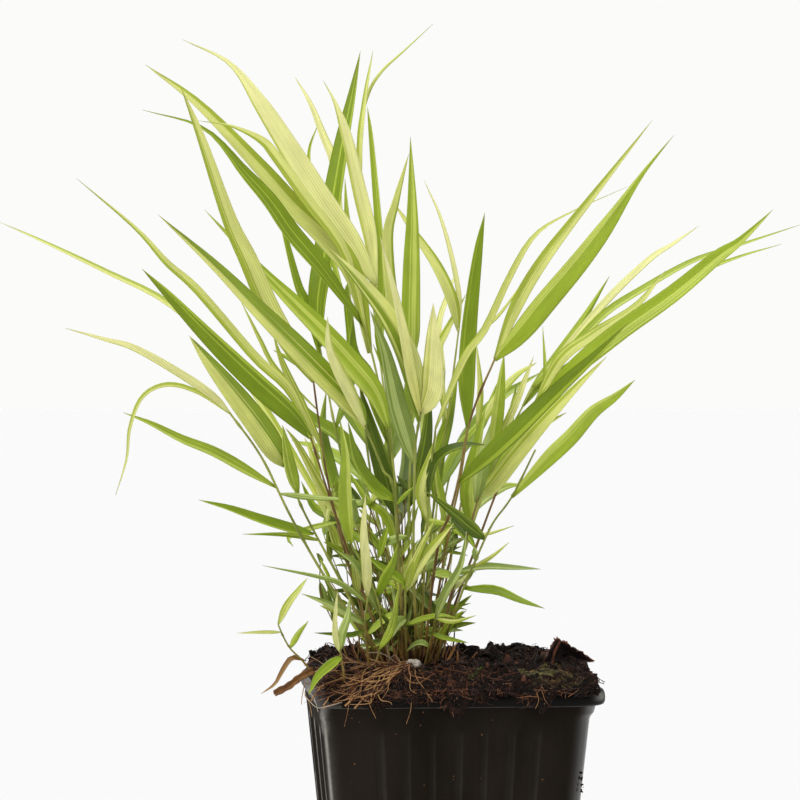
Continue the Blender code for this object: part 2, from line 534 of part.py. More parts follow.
def fuse(name, parts, slot):
    """Join overlapping closed meshes into one solid."""
    group = bpy.data.collections.new(name + "_blades")
    bpy.context.scene.collection.children.link(group)
    pieces = []
    for rings in parts:
        bm = bmesh.new()
        loft(bm, [[point * MM for point in ring] for ring in rings])
        pieces.append(add_object(name + "_part", bm, slot, False))
    body = pieces[0]
    for piece in pieces[1:]:
        bpy.context.scene.collection.objects.unlink(piece)
        group.objects.link(piece)
    union = body.modifiers.new("union", "BOOLEAN")
    union.operation = "UNION"
    union.solver = "EXACT"
    union.operand_type = "COLLECTION"
    union.collection = group
    bpy.context.view_layer.update()
    depsgraph = bpy.context.evaluated_depsgraph_get()
    mesh = bpy.data.meshes.new_from_object(body.evaluated_get(depsgraph))
    made = bpy.data.objects.new(name, mesh)
    mesh.name = name
    bpy.context.scene.collection.objects.link(made)
    for piece in pieces:
        bpy.data.objects.remove(piece)
    bpy.data.collections.remove(group)
    return made


def square_ring(half, corner, z, steps, front=(), side=(), shift=0.0):
    """A rounded square; front and side are points that its sides also have."""
    ring = []
    for quarter in range(4):
        turn = Matrix.Rotation(quarter * math.pi / 2, 3, "Z")
        for across, inward in (front, side)[quarter % 2]:
            ring.append(turn @ Vector((across, -half + inward, z)))
        for i in range(steps + 1):
            angle = -math.pi / 2 + i * math.pi / 2 / steps
            x = half - corner + corner * math.cos(angle)
            y = -half + corner + corner * math.sin(angle)
            ring.append(turn @ Vector((x, y, z)))
    return [point + Vector((shift, 0, 0)) for point in ring]


def rib_points(ribs, scale):
    """Points of a side's grooves, from left to right."""
    points = []
    for rib in ribs:
        middle = rib * scale
        points.append((middle - RIB_HALF_WIDTH, 0.0))
        points.append((middle - RIB_HALF_WIDTH * 0.5, RIB_DEPTH))
        points.append((middle + RIB_HALF_WIDTH * 0.5, RIB_DEPTH))
        points.append((middle + RIB_HALF_WIDTH, 0.0))
    return points


def wall_half(z):
    """Half width of the outer wall at a height."""
    return BASE_HALF + (WALL_TOP_HALF - BASE_HALF) * z / (POT_HEIGHT - NECK_DROP)


def wall_ring(z, inset, corner, grooved=False):
    """A ring of the outer wall, with or without its grooves."""
    half = wall_half(z) - inset
    scale = half / WALL_TOP_HALF
    front = rib_points(FRONT_RIBS, scale) if grooved else ()
    side = rib_points(SIDE_RIBS, scale) if grooved else ()
    return square_ring(half, corner, z, CORNER_STEPS, front, side, WALL_SHIFT)


def build_pot():
    """A tapered square pot with a turned-over rim, a neck and grooves down its sides."""
    top = POT_HEIGHT
    low = top - RIM_DROP
    neck = top - NECK_DROP
    inner_top = WALL_TOP_HALF + 0.4 - WALL
    steps = CORNER_STEPS
    rings = [
        wall_ring(0.0, 0.9, 6.0),
        wall_ring(0.9, 0.0, 6.6),
        wall_ring(RIB_LOW, 0.0, 6.8, True),
        wall_ring(RIB_HIGH, 0.0, 8.4, True),
        wall_ring(RIB_HIGH + 1.6, 0.0, 8.5),
        wall_ring(neck - 0.8, 0.0, 8.6),
        square_ring(NECK_HALF, 9.0, neck, steps, shift=0.6 * WALL_SHIFT),
        square_ring(NECK_HALF, 9.0, low, steps, shift=0.3 * WALL_SHIFT),
        square_ring(RIM_HALF - 0.6, RIM_CORNER, low, steps),
        square_ring(RIM_HALF, RIM_CORNER, low + 0.8, steps),
        square_ring(RIM_HALF, RIM_CORNER, top - 1.2, steps),
        square_ring(RIM_HALF - 1.2, RIM_CORNER - 0.9, top, steps),
        square_ring(inner_top, 7.6, top, steps, shift=WALL_SHIFT),
        square_ring(wall_half(FLOOR) - WALL, 5.8, FLOOR, steps, shift=WALL_SHIFT),
    ]
    bm = bmesh.new()
    loft(bm, [[point * MM for point in ring] for ring in rings])
    pot = add_object("pot", bm, "pot", True)
    for x in (-HOLE_OFFSET, HOLE_OFFSET):
        for y in (-HOLE_OFFSET, HOLE_OFFSET):
            cut_hole(pot, x + WALL_SHIFT, y)
    return pot


def cut_hole(pot, x, y):
    """Drill one drainage hole through the pot's floor."""
    bm = bmesh.new()
    rings = []
    for z in (-2.0, FLOOR + 2.0):
        ring = []
        for i in range(12):
            angle = 2 * math.pi * i / 12
            spot = Vector((x + HOLE_RADIUS * math.cos(angle), y + HOLE_RADIUS * math.sin(angle), z))
            ring.append(spot * MM)
        rings.append(ring)
    loft(bm, rings)
    cutter = add_object("drainage_cutter", bm, "pot", False)
    cutter.hide_render = True
    cutter.display_type = "WIRE"
    drill = pot.modifiers.new("drainage", "BOOLEAN")
    drill.operation = "DIFFERENCE"
    drill.solver = "EXACT"
    drill.object = cutter


def build_peat():
    """The root ball in the pot, with a lumpy top that lies over the rim."""
    rng = random.Random(7)
    top = POT_HEIGHT
    steps = 3
    inner_top = WALL_TOP_HALF + 0.4 - WALL - GAP
    mids = [(share * 30.0, 0.0) for share in (-0.6, 0.0, 0.6)]
    low_mids = [(across * 0.7, 0.0) for across, inward in mids]
    floor_half = wall_half(FLOOR) - WALL - GAP - 0.1
    rings = [
        square_ring(floor_half, 5.4, FLOOR + GAP, steps, low_mids, low_mids, WALL_SHIFT),
        square_ring(inner_top, 7.4, top - 1.0, steps, mids, mids, WALL_SHIFT),
        square_ring(inner_top, 7.4, top + GAP, steps, mids, mids, WALL_SHIFT),
        square_ring(PEAT_HALF, 9.0, top + GAP, steps, mids, mids),
    ]
    edge = square_ring(PEAT_HALF, 9.0, top, steps, mids, mids)
    for share in PEAT_SHARES:
        ring = []
        for point in edge:
            x = point.x * share
            y = point.y * share
            drop = rng.uniform(0.0, 2.0 if share < 0.95 else 0.8)
            ring.append(Vector((x, y, top + peat_height(x, y) - drop)))
        rings.append(ring)
    rings.append([Vector((0, 0, top + PEAT_CROWN - 0.4))])
    bm = bmesh.new()
    loft(bm, [[point * MM for point in ring] for ring in rings])
    return add_object("peat", bm, "peat", False)


def build_root_mat():
    """Matted roots that hang over the front of the rim."""
    rng = random.Random(3)
    rim = -RIM_HALF
    rings = []
    for i in range(MAT_STEPS + 1):
        share = i / MAT_STEPS
        x = MAT_LEFT + MAT_LENGTH * share
        swell = 0.35 + 0.65 * math.sin(math.pi * share)
        hang = -1.5 - 3.2 * swell - rng.uniform(0.0, 2.6)
        bulge = 0.8 + 1.0 * swell + rng.uniform(0.0, 1.2)
        rise = 1.2 + 1.8 * swell + rng.uniform(-0.5, 1.0)
        profile = [
            (rim + 0.55, GAP),
            (rim - GAP - 0.1, -0.4),
            (rim - GAP - 0.1, hang),
            (rim - bulge - GAP, hang + 0.8),
            (rim - bulge, -0.4),
            (rim - 0.6, rise * 0.8),
            (rim + 0.55, rise),
        ]
        rings.append([Vector((x, y, POT_HEIGHT + z)) for y, z in profile])
    bm = bmesh.new()
    loft(bm, [[point * MM for point in ring] for ring in rings])
    return add_object("root_mat", bm, "roots", False)


def build_lump(name, slot, centre, size, turn, seed):
    """A broken lump: a coarse ball pushed about and squashed."""
    rng = random.Random(seed)
    bm = bmesh.new()
    bmesh.ops.create_icosphere(bm, subdivisions=2, radius=1.0)
    spin = Matrix.Rotation(math.radians(turn), 3, "Y")
    for vert in bm.verts:
        push = rng.uniform(0.82, 1.12)
        spot = Vector((vert.co.x * size[0], vert.co.y * size[1], vert.co.z * size[2])) * push
        vert.co = (Vector(centre) + spin @ spot) * MM
    return add_object(name, bm, slot, False)


def build_bark_chip():
    """A shard of bark that lies on the peat near the right of the pot."""
    rings = []
    for depth, shrink in CHIP_LAYERS:
        ring = []
        for point in CHIP_OUTLINE:
            near = CHIP_MIDDLE.lerp(Vector(point), shrink)
            ring.append(seen_place(near.x, near.y, depth))
        rings.append(ring)
    bm = bmesh.new()
    loft(bm, [[point * MM for point in ring] for ring in rings])
    return add_object("bark_chip", bm, "bark", False)


def build_dry_strip():
    """A dead brown leaf lying over the corner of the rim."""
    points = [place(across, up, DRY_LEAN) for across, up in DRY_LINE]
    rings = []
    for i in range(5):
        here, run, side = frame_at(points, i / 4)
        below = run.cross(side).normalized()
        upper = DRY_HALF * 0.87
        rings.append([
            here - side * DRY_HALF - below * DRY_THICK,
            here + side * DRY_HALF - below * DRY_THICK,
            here + side * upper + below * DRY_THICK,
            here - side * upper + below * DRY_THICK,
        ])
    bm = bmesh.new()
    loft(bm, [[point * MM for point in ring] for ring in rings])
    return add_object("dry_leaf", bm, "dry_leaf", False)


def build():
    """Make the whole part."""
    for old in list(bpy.data.objects):
        bpy.data.objects.remove(old)
    build_pot()
    build_peat()
    build_root_mat()
    build_dry_strip()
    build_bark_chip()
    build_lump("perlite", "perlite", PERLITE_CENTRE, PERLITE_SIZE, PERLITE_TURN, 5)
    for name, (tone, lean, radius, culm, blades) in SHOOTS.items():
        parts = shoot_parts(lean, radius, culm, blades, LONG_TIPS.get(name, ()))
        fuse(name, parts, SLOT_OF_TONE[tone])


build()
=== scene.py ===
import functools
import math
import random

import bmesh
import bpy
from mathutils import Matrix, Vector, noise


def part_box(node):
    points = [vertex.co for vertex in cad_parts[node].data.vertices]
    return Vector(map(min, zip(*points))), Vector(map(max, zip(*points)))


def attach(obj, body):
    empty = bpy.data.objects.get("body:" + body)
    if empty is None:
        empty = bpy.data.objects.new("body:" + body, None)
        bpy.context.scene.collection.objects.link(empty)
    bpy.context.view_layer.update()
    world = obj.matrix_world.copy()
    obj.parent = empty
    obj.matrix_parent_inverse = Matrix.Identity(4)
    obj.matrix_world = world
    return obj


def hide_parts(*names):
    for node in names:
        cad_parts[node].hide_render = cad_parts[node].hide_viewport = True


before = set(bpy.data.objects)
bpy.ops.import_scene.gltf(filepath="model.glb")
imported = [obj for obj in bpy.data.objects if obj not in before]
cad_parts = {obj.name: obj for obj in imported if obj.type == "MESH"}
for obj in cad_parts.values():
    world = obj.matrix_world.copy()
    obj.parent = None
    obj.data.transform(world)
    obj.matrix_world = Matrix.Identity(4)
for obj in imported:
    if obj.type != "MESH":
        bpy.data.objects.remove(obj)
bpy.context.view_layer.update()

MM = 0.001

# Pot and peat, in millimetres
POT_HEIGHT = 95.0
RIM_HALF = 45.0
RIM_CORNER = 10.0
RIM_DROP = 5.2
NECK_HALF = 42.8
NECK_DROP = 8.2
WALL_TOP_HALF = 42.0
BASE_HALF = 33.4
WALL_SHIFT = -1.4
WALL = 1.2
FLOOR = 1.6
FRONT_RIBS = (-25.2, -16.8, -8.4, 0.0, 8.4, 16.8, 25.2)
SIDE_RIBS = (-26.0, 0.0, 26.0)
RIB_DEPTH = 0.7
HOLE_RADIUS = 3.2
HOLE_OFFSET = 17.0
PEAT_HALF = 44.2
PEAT_CROWN = 5.2
PEAT_EDGE = 1.6

# The view that the clump is laid out in, in millimetres
VIEW_DISTANCE = 960.0
VIEW_SIDE = -15.35
VIEW_RISE = 89.0
VIEW_TURN = Matrix.Rotation(math.radians(-5.5), 3, "Z")
LENS = 134.8
CROWN = Vector((-11.5, 5.0))
CROWN_REACH = 20.0
SPREAD = 1.3
BLADE_FAN = 0.016
TURN_GAIN = 1.6
CULM_TIP = 0.6

# How a blade's width runs: at its foot, where it is widest, how full it stays beyond,
# how slim it is against its width in the table, and how a long tip draws out
FOOT_WIDTH = 0.22
WIDEST_AT = 0.28
FULLNESS = 1.85
SLIMNESS = 0.87
TIP_FROM = 0.62
TIP_OVER = 0.26
TIP_DRAW = 0.55

# The bark shard and the dead leaf, as seen
CHIP_OUTLINE = ((30.6, 5.0), (33.0, 9.6), (34.8, 12.3), (36.8, 11.6), (41.2, 9.0),
                (46.0, 5.7), (44.0, 4.8), (38.5, 3.4), (33.6, 3.2))
CHIP_MIDDLE = Vector((38.0, 6.6))
DRY_LINE = ((-43, 2.4), (-47, 0.4), (-51, -2.6), (-55.6, -5.0))
DRY_LEAN = -0.62

# Detail of the fine meshes
BLADE_ROWS = 26
BLADE_COLUMNS = 8
CULM_SIDES = 8
CULM_ROWS = 28

# Blade tones: c cream, y lime, t and u two-tone, g green, d dark, m mossy, s grey-green, b dry.
# A shoot is (tone, lean, culm radius, culm points, blades) and
# a blade is (tone, widest, turn, points from its base to its tip).
SHOOTS = {
    # Shoots that reach to the left
    "shoot_01": ("y", -0.50, 0.60, [(-19, 5), (-38, 30), (-50, 51), (-60, 71), (-70, 85)], [
        ("c", 2.8, 15, [(-70, 85), (-75, 90), (-85, 97), (-100, 105.5), (-110, 108.5), (-122.5, 112)]),
        ("y", 1.5, 30, [(-69, 84), (-80, 91.5), (-90, 94), (-98, 90), (-102, 80), (-103, 70),
            (-106.5, 58.5)]),
        ("g", 3.4, 20, [(-55, 61), (-65, 67), (-75, 72.5), (-85, 76.5), (-95, 81.5), (-104, 85)]),
        ("s", 2.0, 20, [(-54, 59), (-46, 58), (-38, 57.4), (-27.6, 57)]),
    ]),
    "shoot_02": ("g", -0.30, 0.55, [(-20, 5), (-36, 34), (-46, 53), (-52, 68)], [
        ("t", 8.6, 15, [(-52, 68), (-55, 72.5), (-60, 80), (-66, 88), (-72, 95.5), (-78, 103),
            (-83, 109.7)]),
        ("g", 4.2, 25, [(-48, 59), (-51, 70), (-53, 81)]),
        ("d", 3.4, 20, [(-43, 46), (-50, 48), (-60, 51), (-70, 54.5), (-80, 57)]),
        ("g", 1.8, 20, [(-41, 44), (-48, 45.5), (-55, 46), (-66, 46)]),
    ]),
    "shoot_03": ("d", -0.22, 0.55, [(-18, 5), (-29, 32), (-37, 55), (-44, 77)], [
        ("d", 7.5, 10, [(-44, 77), (-50, 84), (-60, 93), (-70, 102.5), (-80, 112.5), (-90, 123),
            (-98, 131)]),
        ("y", 3.4, 15, [(-41, 70), (-50, 91), (-62, 103), (-80, 124), (-90, 133), (-100, 144),
            (-119, 160)]),
        ("g", 2.0, 15, [(-35, 50), (-44, 48), (-51, 45), (-49.5, 42)]),
    ]),
    "shoot_04": ("t", -0.40, 0.60, [(-14, 5), (-17, 57), (-21, 67), (-26.5, 81)], [
        ("c", 4.4, 25, [(-26.3, 80), (-31, 91), (-35, 98.5), (-38, 106), (-38.6, 115.7)]),
        ("t", 8.2, 15, [(-26.5, 81), (-30, 87), (-40, 97.4), (-50, 107.6), (-60, 117.5), (-75, 132.5),
            (-93, 148.5)]),
        ("d", 4.5, 20, [(-17, 57), (-23, 61), (-29, 70), (-32, 82)]),
    ]),
    "shoot_05": ("t", -0.14, 0.55, [(-14, 5), (-16, 40), (-17, 62), (-19, 80)], [
        ("g", 7.8, 15, [(-19, 80), (-23, 91), (-30, 100), (-40, 111), (-50, 121), (-60, 131), (-78, 150)]),
        ("m", 7.0, 25, [(-16.6, 52), (-20, 64), (-24, 78), (-28, 93)]),
        ("g", 3.2, 20, [(-16, 40), (-20, 52), (-26, 57), (-33, 68)]),
    ]),
    "shoot_06": ("y", -0.18, 0.50, [(-22, 5), (-33, 40), (-39, 66), (-43, 95)], [
        ("y", 7.2, 20, [(-43, 95), (-50, 106), (-57, 118), (-64, 134), (-70, 147), (-79, 173),
            (-85.5, 189)]),
        ("y", 3.0, 20, [(-40, 73), (-47, 88), (-53, 101), (-56, 110)]),
        ("y", 4.0, 20, [(-33, 40), (-33, 51), (-38, 56.6), (-42.4, 64.3), (-48, 74.6), (-52, 80)]),
        ("y", 1.6, 20, [(-42, 86), (-55, 99), (-60, 108), (-63, 114), (-66.5, 121)]),
    ]),
    "shoot_07": ("g", -0.06, 0.60, [(-14, 5), (-17, 45), (-19, 75), (-23, 98), (-27, 113)], [
        ("d", 6.2, 15, [(-27, 113), (-40, 131), (-50, 143), (-57, 153), (-65, 162), (-78, 176),
            (-98, 182)]),
        ("y", 4.2, 15, [(-26, 110), (-33, 136), (-45, 153), (-55, 167), (-60, 172.5), (-70, 177),
            (-80, 178.5)]),
        ("y", 8.2, 15, [(-25, 104), (-30, 129), (-40, 142.5), (-50, 152), (-60, 163.5),
            (-80, 184), (-97, 196.5)]),
        ("d", 5.5, 25, [(-19, 75), (-25, 95), (-30, 104), (-30.5, 116)]),
    ]),
    "shoot_08": ("c", 0.03, 0.60, [(-12, 5), (-16, 50), (-19, 85), (-22, 112), (-23, 126)], [
        ("c", 9.0, 12, [(-23, 126), (-30, 138), (-40, 152.5), (-50, 168.5), (-60, 184),
            (-70, 197), (-85, 204.5)]),
        ("c", 5.5, 12, [(-23, 125), (-25, 142), (-28, 155), (-32, 172), (-36, 184), (-40, 191.5)]),
        ("g", 3.6, 20, [(-20, 96), (-22, 110), (-21, 125), (-22, 142), (-24.5, 172), (-25.8, 183)]),
    ]),
    "shoot_09": ("d", 0.19, 0.55, [(-16, 5), (-28, 45), (-36, 80), (-41, 106)], [
        ("d", 7.8, 15, [(-41, 106), (-42, 120), (-40, 135), (-37, 155), (-34, 172), (-31, 186),
            (-28, 201)]),
        ("d", 3.4, 20, [(-40, 100), (-45, 119), (-48, 126), (-52, 141), (-55, 152.5)]),
        ("d", 4.0, 25, [(-36, 80), (-32, 92), (-31, 107), (-32.5, 122), (-31.5, 128)]),
    ]),
    "shoot_10": ("g", 0.27, 0.50, [(-22, 5), (-29, 25), (-32, 38)], [
        ("y", 3.0, 25, [(-32, 36), (-40, 57), (-43, 70), (-46, 77)]),
        ("y", 2.6, 20, [(-32, 38), (-44, 62), (-66, 97), (-88, 119), (-110, 130.5), (-130, 140),
            (-143.6, 146)]),
    ]),
    "shoot_11": ("y", 0.36, 0.50, [(-15, 5), (-24, 60), (-30, 110), (-34, 148)], [
        ("c", 3.4, 20, [(-34, 148), (-36.5, 165), (-40, 174), (-44, 184), (-49, 192.5)]),
        ("g", 2.0, 20, [(-30, 110), (-38, 138), (-44.5, 165), (-41.5, 178)]),
        ("d", 5.5, 30, [(-24, 60), (-33, 76), (-44, 84), (-55, 96)]),
    ]),
    # Shoots in the middle
    "shoot_12": ("t", -0.46, 0.60, [(-10, 5), (-11, 40), (-10.8, 60), (-10.4, 74), (-8.6, 85)], [
        ("c", 7.6, 30, [(-8.6, 85), (-5.6, 92), (-4.8, 100), (-4.6, 110), (-4.7, 120)]),
        ("c", 3.8, 25, [(-8.8, 84), (-11.5, 97), (-14, 110), (-17.4, 125), (-21.8, 141.7)]),
        ("u", 7.6, 15, [(-9, 82), (-11.5, 99), (-18, 114), (-28, 127), (-38.3, 137.7)]),
        ("s", 6.8, 12, [(-10.7, 68.6), (-13, 77), (-16, 87), (-18, 96), (-20.4, 106), (-25, 118)]),
    ]),
    "shoot_13": ("y", -0.58, 0.50, [(-13, 5), (-13.6, 16), (-13.6, 28)], [
        ("y", 4.6, 15, [(-13.6, 28), (-10.5, 35), (-5, 42), (2, 49.6)]),
        ("y", 2.6, 20, [(-13.6, 27), (-11.4, 35), (-8, 43), (-4, 51)]),
        ("s", 3.6, 20, [(-13.4, 19), (-15.6, 18), (-17.2, 15.5), (-18, 12.4)]),
        ("g", 2.0, 20, [(-13.3, 17), (-8, 19), (-2, 20), (3.5, 19)]),
        ("d", 3.0, 20, [(-13.6, 30), (-17, 33), (-22, 36), (-27, 40)]),
    ]),
    "shoot_14": ("g", -0.10, 0.55, [(-11, 5), (-12.5, 40), (-12, 75), (-11.3, 102)], [
        ("g", 6.8, 12, [(-11.3, 102), (-11.9, 112), (-11.6, 132), (-11.4, 150), (-12, 173.5)]),
        ("y", 4.4, 15, [(-11.5, 97), (-17, 116), (-19.3, 140), (-16.6, 153), (-12.5, 168)]),
        ("d", 6.2, 20, [(-12.2, 72), (-15, 86), (-18.5, 99), (-22, 112)]),
        ("m", 5.6, 25, [(-12.4, 55), (-9, 66), (-6.5, 80), (-6, 96)]),
    ]),
    "shoot_15": ("g", 0.07, 0.50, [(-9, 5), (-5, 50), (0, 85), (3.4, 111)], [
        ("y", 4.4, 15, [(3.4, 111), (1.5, 121), (-3.5, 132), (-11, 143), (-18, 153)]),
        ("c", 1.9, 15, [(3.4, 110), (3.6, 122), (1, 136), (-2.7, 148.5), (-7.7, 159.5)]),
        ("y", 3.6, 20, [(-0.5, 82), (-3.4, 103), (-0.6, 111), (5.9, 123)]),
        ("d", 5.6, 25, [(-4, 57), (-3.6, 70), (0, 82), (3, 95)]),
    ]),
    "shoot_16": ("d", -0.02, 0.50, [(-7, 5), (-1, 40), (4, 64), (6.4, 80)], [
        ("d", 6.2, 10, [(6.4, 80), (6, 96), (7, 114), (9.6, 136), (11.8, 149)]),
        ("g", 3.4, 25, [(-1, 40), (-0.5, 50), (-3, 62), (-4.3, 73)]),
    ]),
    "shoot_17": ("y", 0.46, 0.50, [(-12, 5), (-18, 70), (-24, 120), (-28, 157)], [
        ("y", 2.4, 20, [(-28, 157), (-28.3, 171), (-26.5, 187), (-24, 201)]),
        ("y", 1.5, 15, [(-27.8, 155), (-28.6, 173), (-26, 186), (-21.5, 194), (-14, 201), (-4.8, 209.5)]),
        ("g", 3.6, 25, [(-24, 120), (-29, 132), (-32, 145), (-33, 160)]),
        ("d", 6.0, 30, [(-18, 70), (-13, 84), (-12, 100), (-15, 118)]),
    ]),
    "shoot_18": ("y", 0.56, 0.45, [(-9, 5), (-3, 60), (-1, 98)], [
        ("c", 2.4, 20, [(-1, 98), (-3, 112), (0, 123), (2.8, 130)]),
        ("d", 5.0, 30, [(-3, 60), (3, 72), (11, 82), (16, 95)]),
    ]),
    # Shoots that reach to the right
    "shoot_19": ("c", -0.48, 0.50, [(-5, 5), (1, 18), (5, 28.6), (9, 38), (14, 49), (20.5, 58), (28, 73)], [
        ("g", 5.4, 15, [(20.5, 58), (32, 70), (39.3, 77), (46.5, 85), (53.6, 90), (60, 95.5)]),
        ("m", 4.6, 25, [(11.8, 44.6), (7, 48.4), (1, 53.6), (-7.4, 60)]),
        ("d", 3.2, 15, [(5, 28.6), (15, 28.2), (23, 25), (31, 22.2)]),
        ("y", 1.4, 20, [(8, 35.4), (14, 38.8), (19.6, 43.4)]),
    ]),
    "shoot_20": ("g", -0.38, 0.60, [(-8, 5), (-3.5, 41), (0.4, 52), (3.5, 64), (7.3, 83), (15, 102)], [
        ("g", 7.4, 15, [(15, 102), (22.4, 109.6), (31.9, 121), (42.2, 133.2), (51.4, 145.4),
            (62, 161), (72.5, 174)]),
        ("y", 4.5, 15, [(15, 102), (20, 115), (25, 125), (31.4, 135), (38.6, 144.5), (50.8, 160),
            (65.6, 178.8)]),
        ("d", 6.0, 15, [(3.2, 62.4), (12.8, 71.2), (23, 80.6), (36, 93.2), (47, 103.2), (58, 114)]),
    ]),
    "shoot_21": ("s", -0.28, 0.50, [(-9, 5), (-7, 45), (-5, 70), (-4, 80)], [
        ("y", 2.6, 20, [(-4, 80), (1.6, 94.5), (6, 104), (12, 112), (20, 129), (28, 142),
            (40, 149.5), (57.6, 157.4)]),
        ("m", 3.4, 20, [(-6.4, 58), (-5, 68), (-0.4, 73), (6, 74.8), (12.2, 74.6)]),
        ("y", 3.4, 20, [(-6.8, 50), (-9, 60), (-6, 70), (-3.4, 78)]),
        ("y", 1.5, 15, [(-4.2, 79), (8, 107), (17, 117), (26, 129.5)]),
    ]),
    "shoot_22": ("g", -0.20, 0.50, [(-4, 5), (2, 30), (8, 52), (14.4, 72)], [
        ("g", 4.4, 15, [(14.4, 72), (16.4, 88), (18, 104)]),
        ("c", 2.8, 20, [(14.2, 71), (22, 88.7), (27.5, 103)]),
        ("s", 5.2, 20, [(9, 56), (11, 68), (14, 78), (15.7, 86)]),
        ("s", 2.6, 15, [(3, 34), (11, 35.8), (21, 35.4), (29.8, 34.8)]),
        ("y", 6.2, 15, [(10.2, 58.6), (14, 61.4), (22, 71.6), (30, 81), (40, 92), (51, 103)]),
    ]),
    "shoot_23": ("g", -0.08, 0.55, [(-5, 5), (6, 34), (17, 63), (28, 88)], [
        ("g", 6.8, 15, [(28, 88), (40, 99), (55, 111), (72, 123), (86.5, 135), (93.6, 140),
            (104.4, 150.2)]),
        ("y", 4.2, 20, [(27.6, 87), (36, 102), (46.5, 110), (60, 119), (69.7, 130.5)]),
        ("g", 3.0, 20, [(17.5, 64), (26, 76), (31, 92), (30.4, 112.7)]),
        ("y", 2.6, 20, [(20, 70), (28, 79), (38, 85)]),
    ]),
    "shoot_24": ("d", 0.06, 0.55, [(-5, 5), (4, 36), (14, 66), (27, 93)], [
        ("g", 2.8, 15, [(27, 93), (38, 104), (50, 116.6), (62, 124.5), (78, 133.5), (93.6, 138.8),
            (113, 145.2)]),
        ("c", 2.8, 15, [(26.8, 92.4), (43, 112), (53.5, 123.7), (65, 134.5), (72, 139), (80.4, 144.8)]),
        ("d", 3.8, 20, [(24, 87), (32, 98.7), (43, 114.5), (51.8, 128.7)]),
        ("g", 1.9, 15, [(26.5, 92), (55, 112), (80, 129), (92, 134.5), (107, 139)]),
    ]),
    "shoot_25": ("d", 0.20, 0.50, [(-6, 5), (2, 30), (7, 48), (11.5, 61)], [
        ("d", 5.6, 25, [(11.5, 61), (17, 72), (26, 83), (38, 91)]),
        ("g", 5.0, 25, [(7.4, 49), (6, 60), (9, 74), (12, 86)]),
        ("y", 1.3, 20, [(6.8, 47), (12, 46), (21.4, 48.8)]),
    ]),
    "shoot_26": ("g", 0.34, 0.50, [(-7, 5), (0, 34), (5, 60), (9.5, 80)], [
        ("y", 2.6, 25, [(9.5, 80), (10.4, 93), (9, 108)]),
        ("y", 3.2, 20, [(9.3, 79), (16, 90), (22, 97), (28.5, 101)]),
        ("d", 5.0, 30, [(5, 60), (13, 69), (19, 80), (22, 94)]),
    ]),
    # Short shoots around the foot of the clump
    "shoot_27": ("y", -0.66, 0.45, [(-25, 5), (-26.5, 16), (-25.7, 26)], [
        ("c", 3.6, 15, [(-25.7, 26), (-26, 35), (-27, 47), (-26.4, 59.3)]),
        ("s", 2.8, 15, [(-26.5, 17), (-33, 21), (-39, 24), (-47, 27)]),
        ("s", 1.8, 20, [(-25.9, 24), (-34, 30), (-42, 32.5), (-59.5, 36)]),
        ("m", 1.8, 20, [(-26.6, 15), (-31, 13.8), (-36, 14), (-43, 14.4)]),
    ]),
    "shoot_28": ("g", -0.84, 0.50, [(-33, 5), (-34.5, 9)], [
        ("s", 3.2, 20, [(-34.5, 9), (-34, 14), (-32, 20), (-31.5, 26)]),
        ("d", 3.2, 20, [(-34, 7), (-38, 4), (-42, 0), (-44.7, -5.6)]),
        ("c", 2.2, 20, [(-34.4, 8), (-36.2, 15), (-35.4, 28)]),
    ]),
    "shoot_29": ("y", -0.36, 0.40, [(-41, 5), (-47, 6), (-51, 10), (-54.4, 17)], [
        ("y", 2.6, 15, [(-54.4, 17), (-51.7, 23), (-48, 28), (-45, 32)]),
        ("g", 2.2, 15, [(-50.6, 9.5), (-48, 14), (-44.7, 18.2)]),
        ("y", 1.2, 15, [(-53.4, 14.6), (-60, 14.6), (-67.6, 14.3)]),
        ("b", 1.8, 20, [(-46, 5.6), (-50, 6.4), (-53, 2.5), (-55.5, -2), (-60, -5.2)]),
    ]),
    "shoot_30": ("g", -0.74, 0.45, [(-24, 5), (-22, 9)], [
        ("g", 2.8, 20, [(-22, 9), (-18.5, 15), (-17, 21), (-15.6, 30)]),
    ]),
    "shoot_31": ("s", -0.64, 0.45, [(-8, 5), (-6, 10), (-4, 19)], [
        ("s", 2.0, 20, [(-6, 10), (-8.2, 11.4), (-10.8, 10.8), (-13.5, 8.3)]),
        ("d", 1.8, 20, [(-5, 14.2), (0, 12.6), (6.6, 11.2)]),
        ("s", 3.0, 15, [(-4, 19), (-1, 27), (4, 36), (6, 47)]),
        ("y", 1.5, 20, [(-4, 19), (2, 18), (9, 20)]),
    ]),
    "shoot_32": ("d", -0.62, 0.45, [(-18, 5), (-21, 16), (-23, 26), (-27, 35), (-31, 43)], [
        ("g", 4.8, 12, [(-31, 43), (-32.6, 52), (-33, 62), (-33, 72), (-34.6, 83)]),
        ("d", 3.6, 20, [(-23, 26), (-20, 32), (-17.5, 37), (-16, 43)]),
        ("s", 3.0, 25, [(-22, 21), (-26, 31), (-30, 37), (-36, 41)]),
    ]),
    # Shoots at the back, seen between the others
    "shoot_33": ("d", 0.66, 0.50, [(-13, 5), (-20, 45), (-25, 74)], [
        ("d", 6.0, 30, [(-25, 74), (-33, 88), (-43, 98), (-56, 105)]),
        ("d", 5.0, 30, [(-23, 62), (-18, 76), (-18, 92), (-24, 107)]),
    ]),
    "shoot_34": ("d", 0.76, 0.50, [(-9, 5), (-4, 40), (1, 68)], [
        ("d", 5.6, 30, [(1, 68), (8, 80), (17, 90), (30, 98)]),
        ("g", 4.6, 30, [(-1, 57), (-6, 70), (-7, 86), (-3, 101)]),
    ]),
    "shoot_35": ("g", 0.88, 0.50, [(-12, 5), (-16, 34), (-20, 55)], [
        ("g", 5.4, 30, [(-20, 55), (-28, 66), (-39, 73), (-50, 76)]),
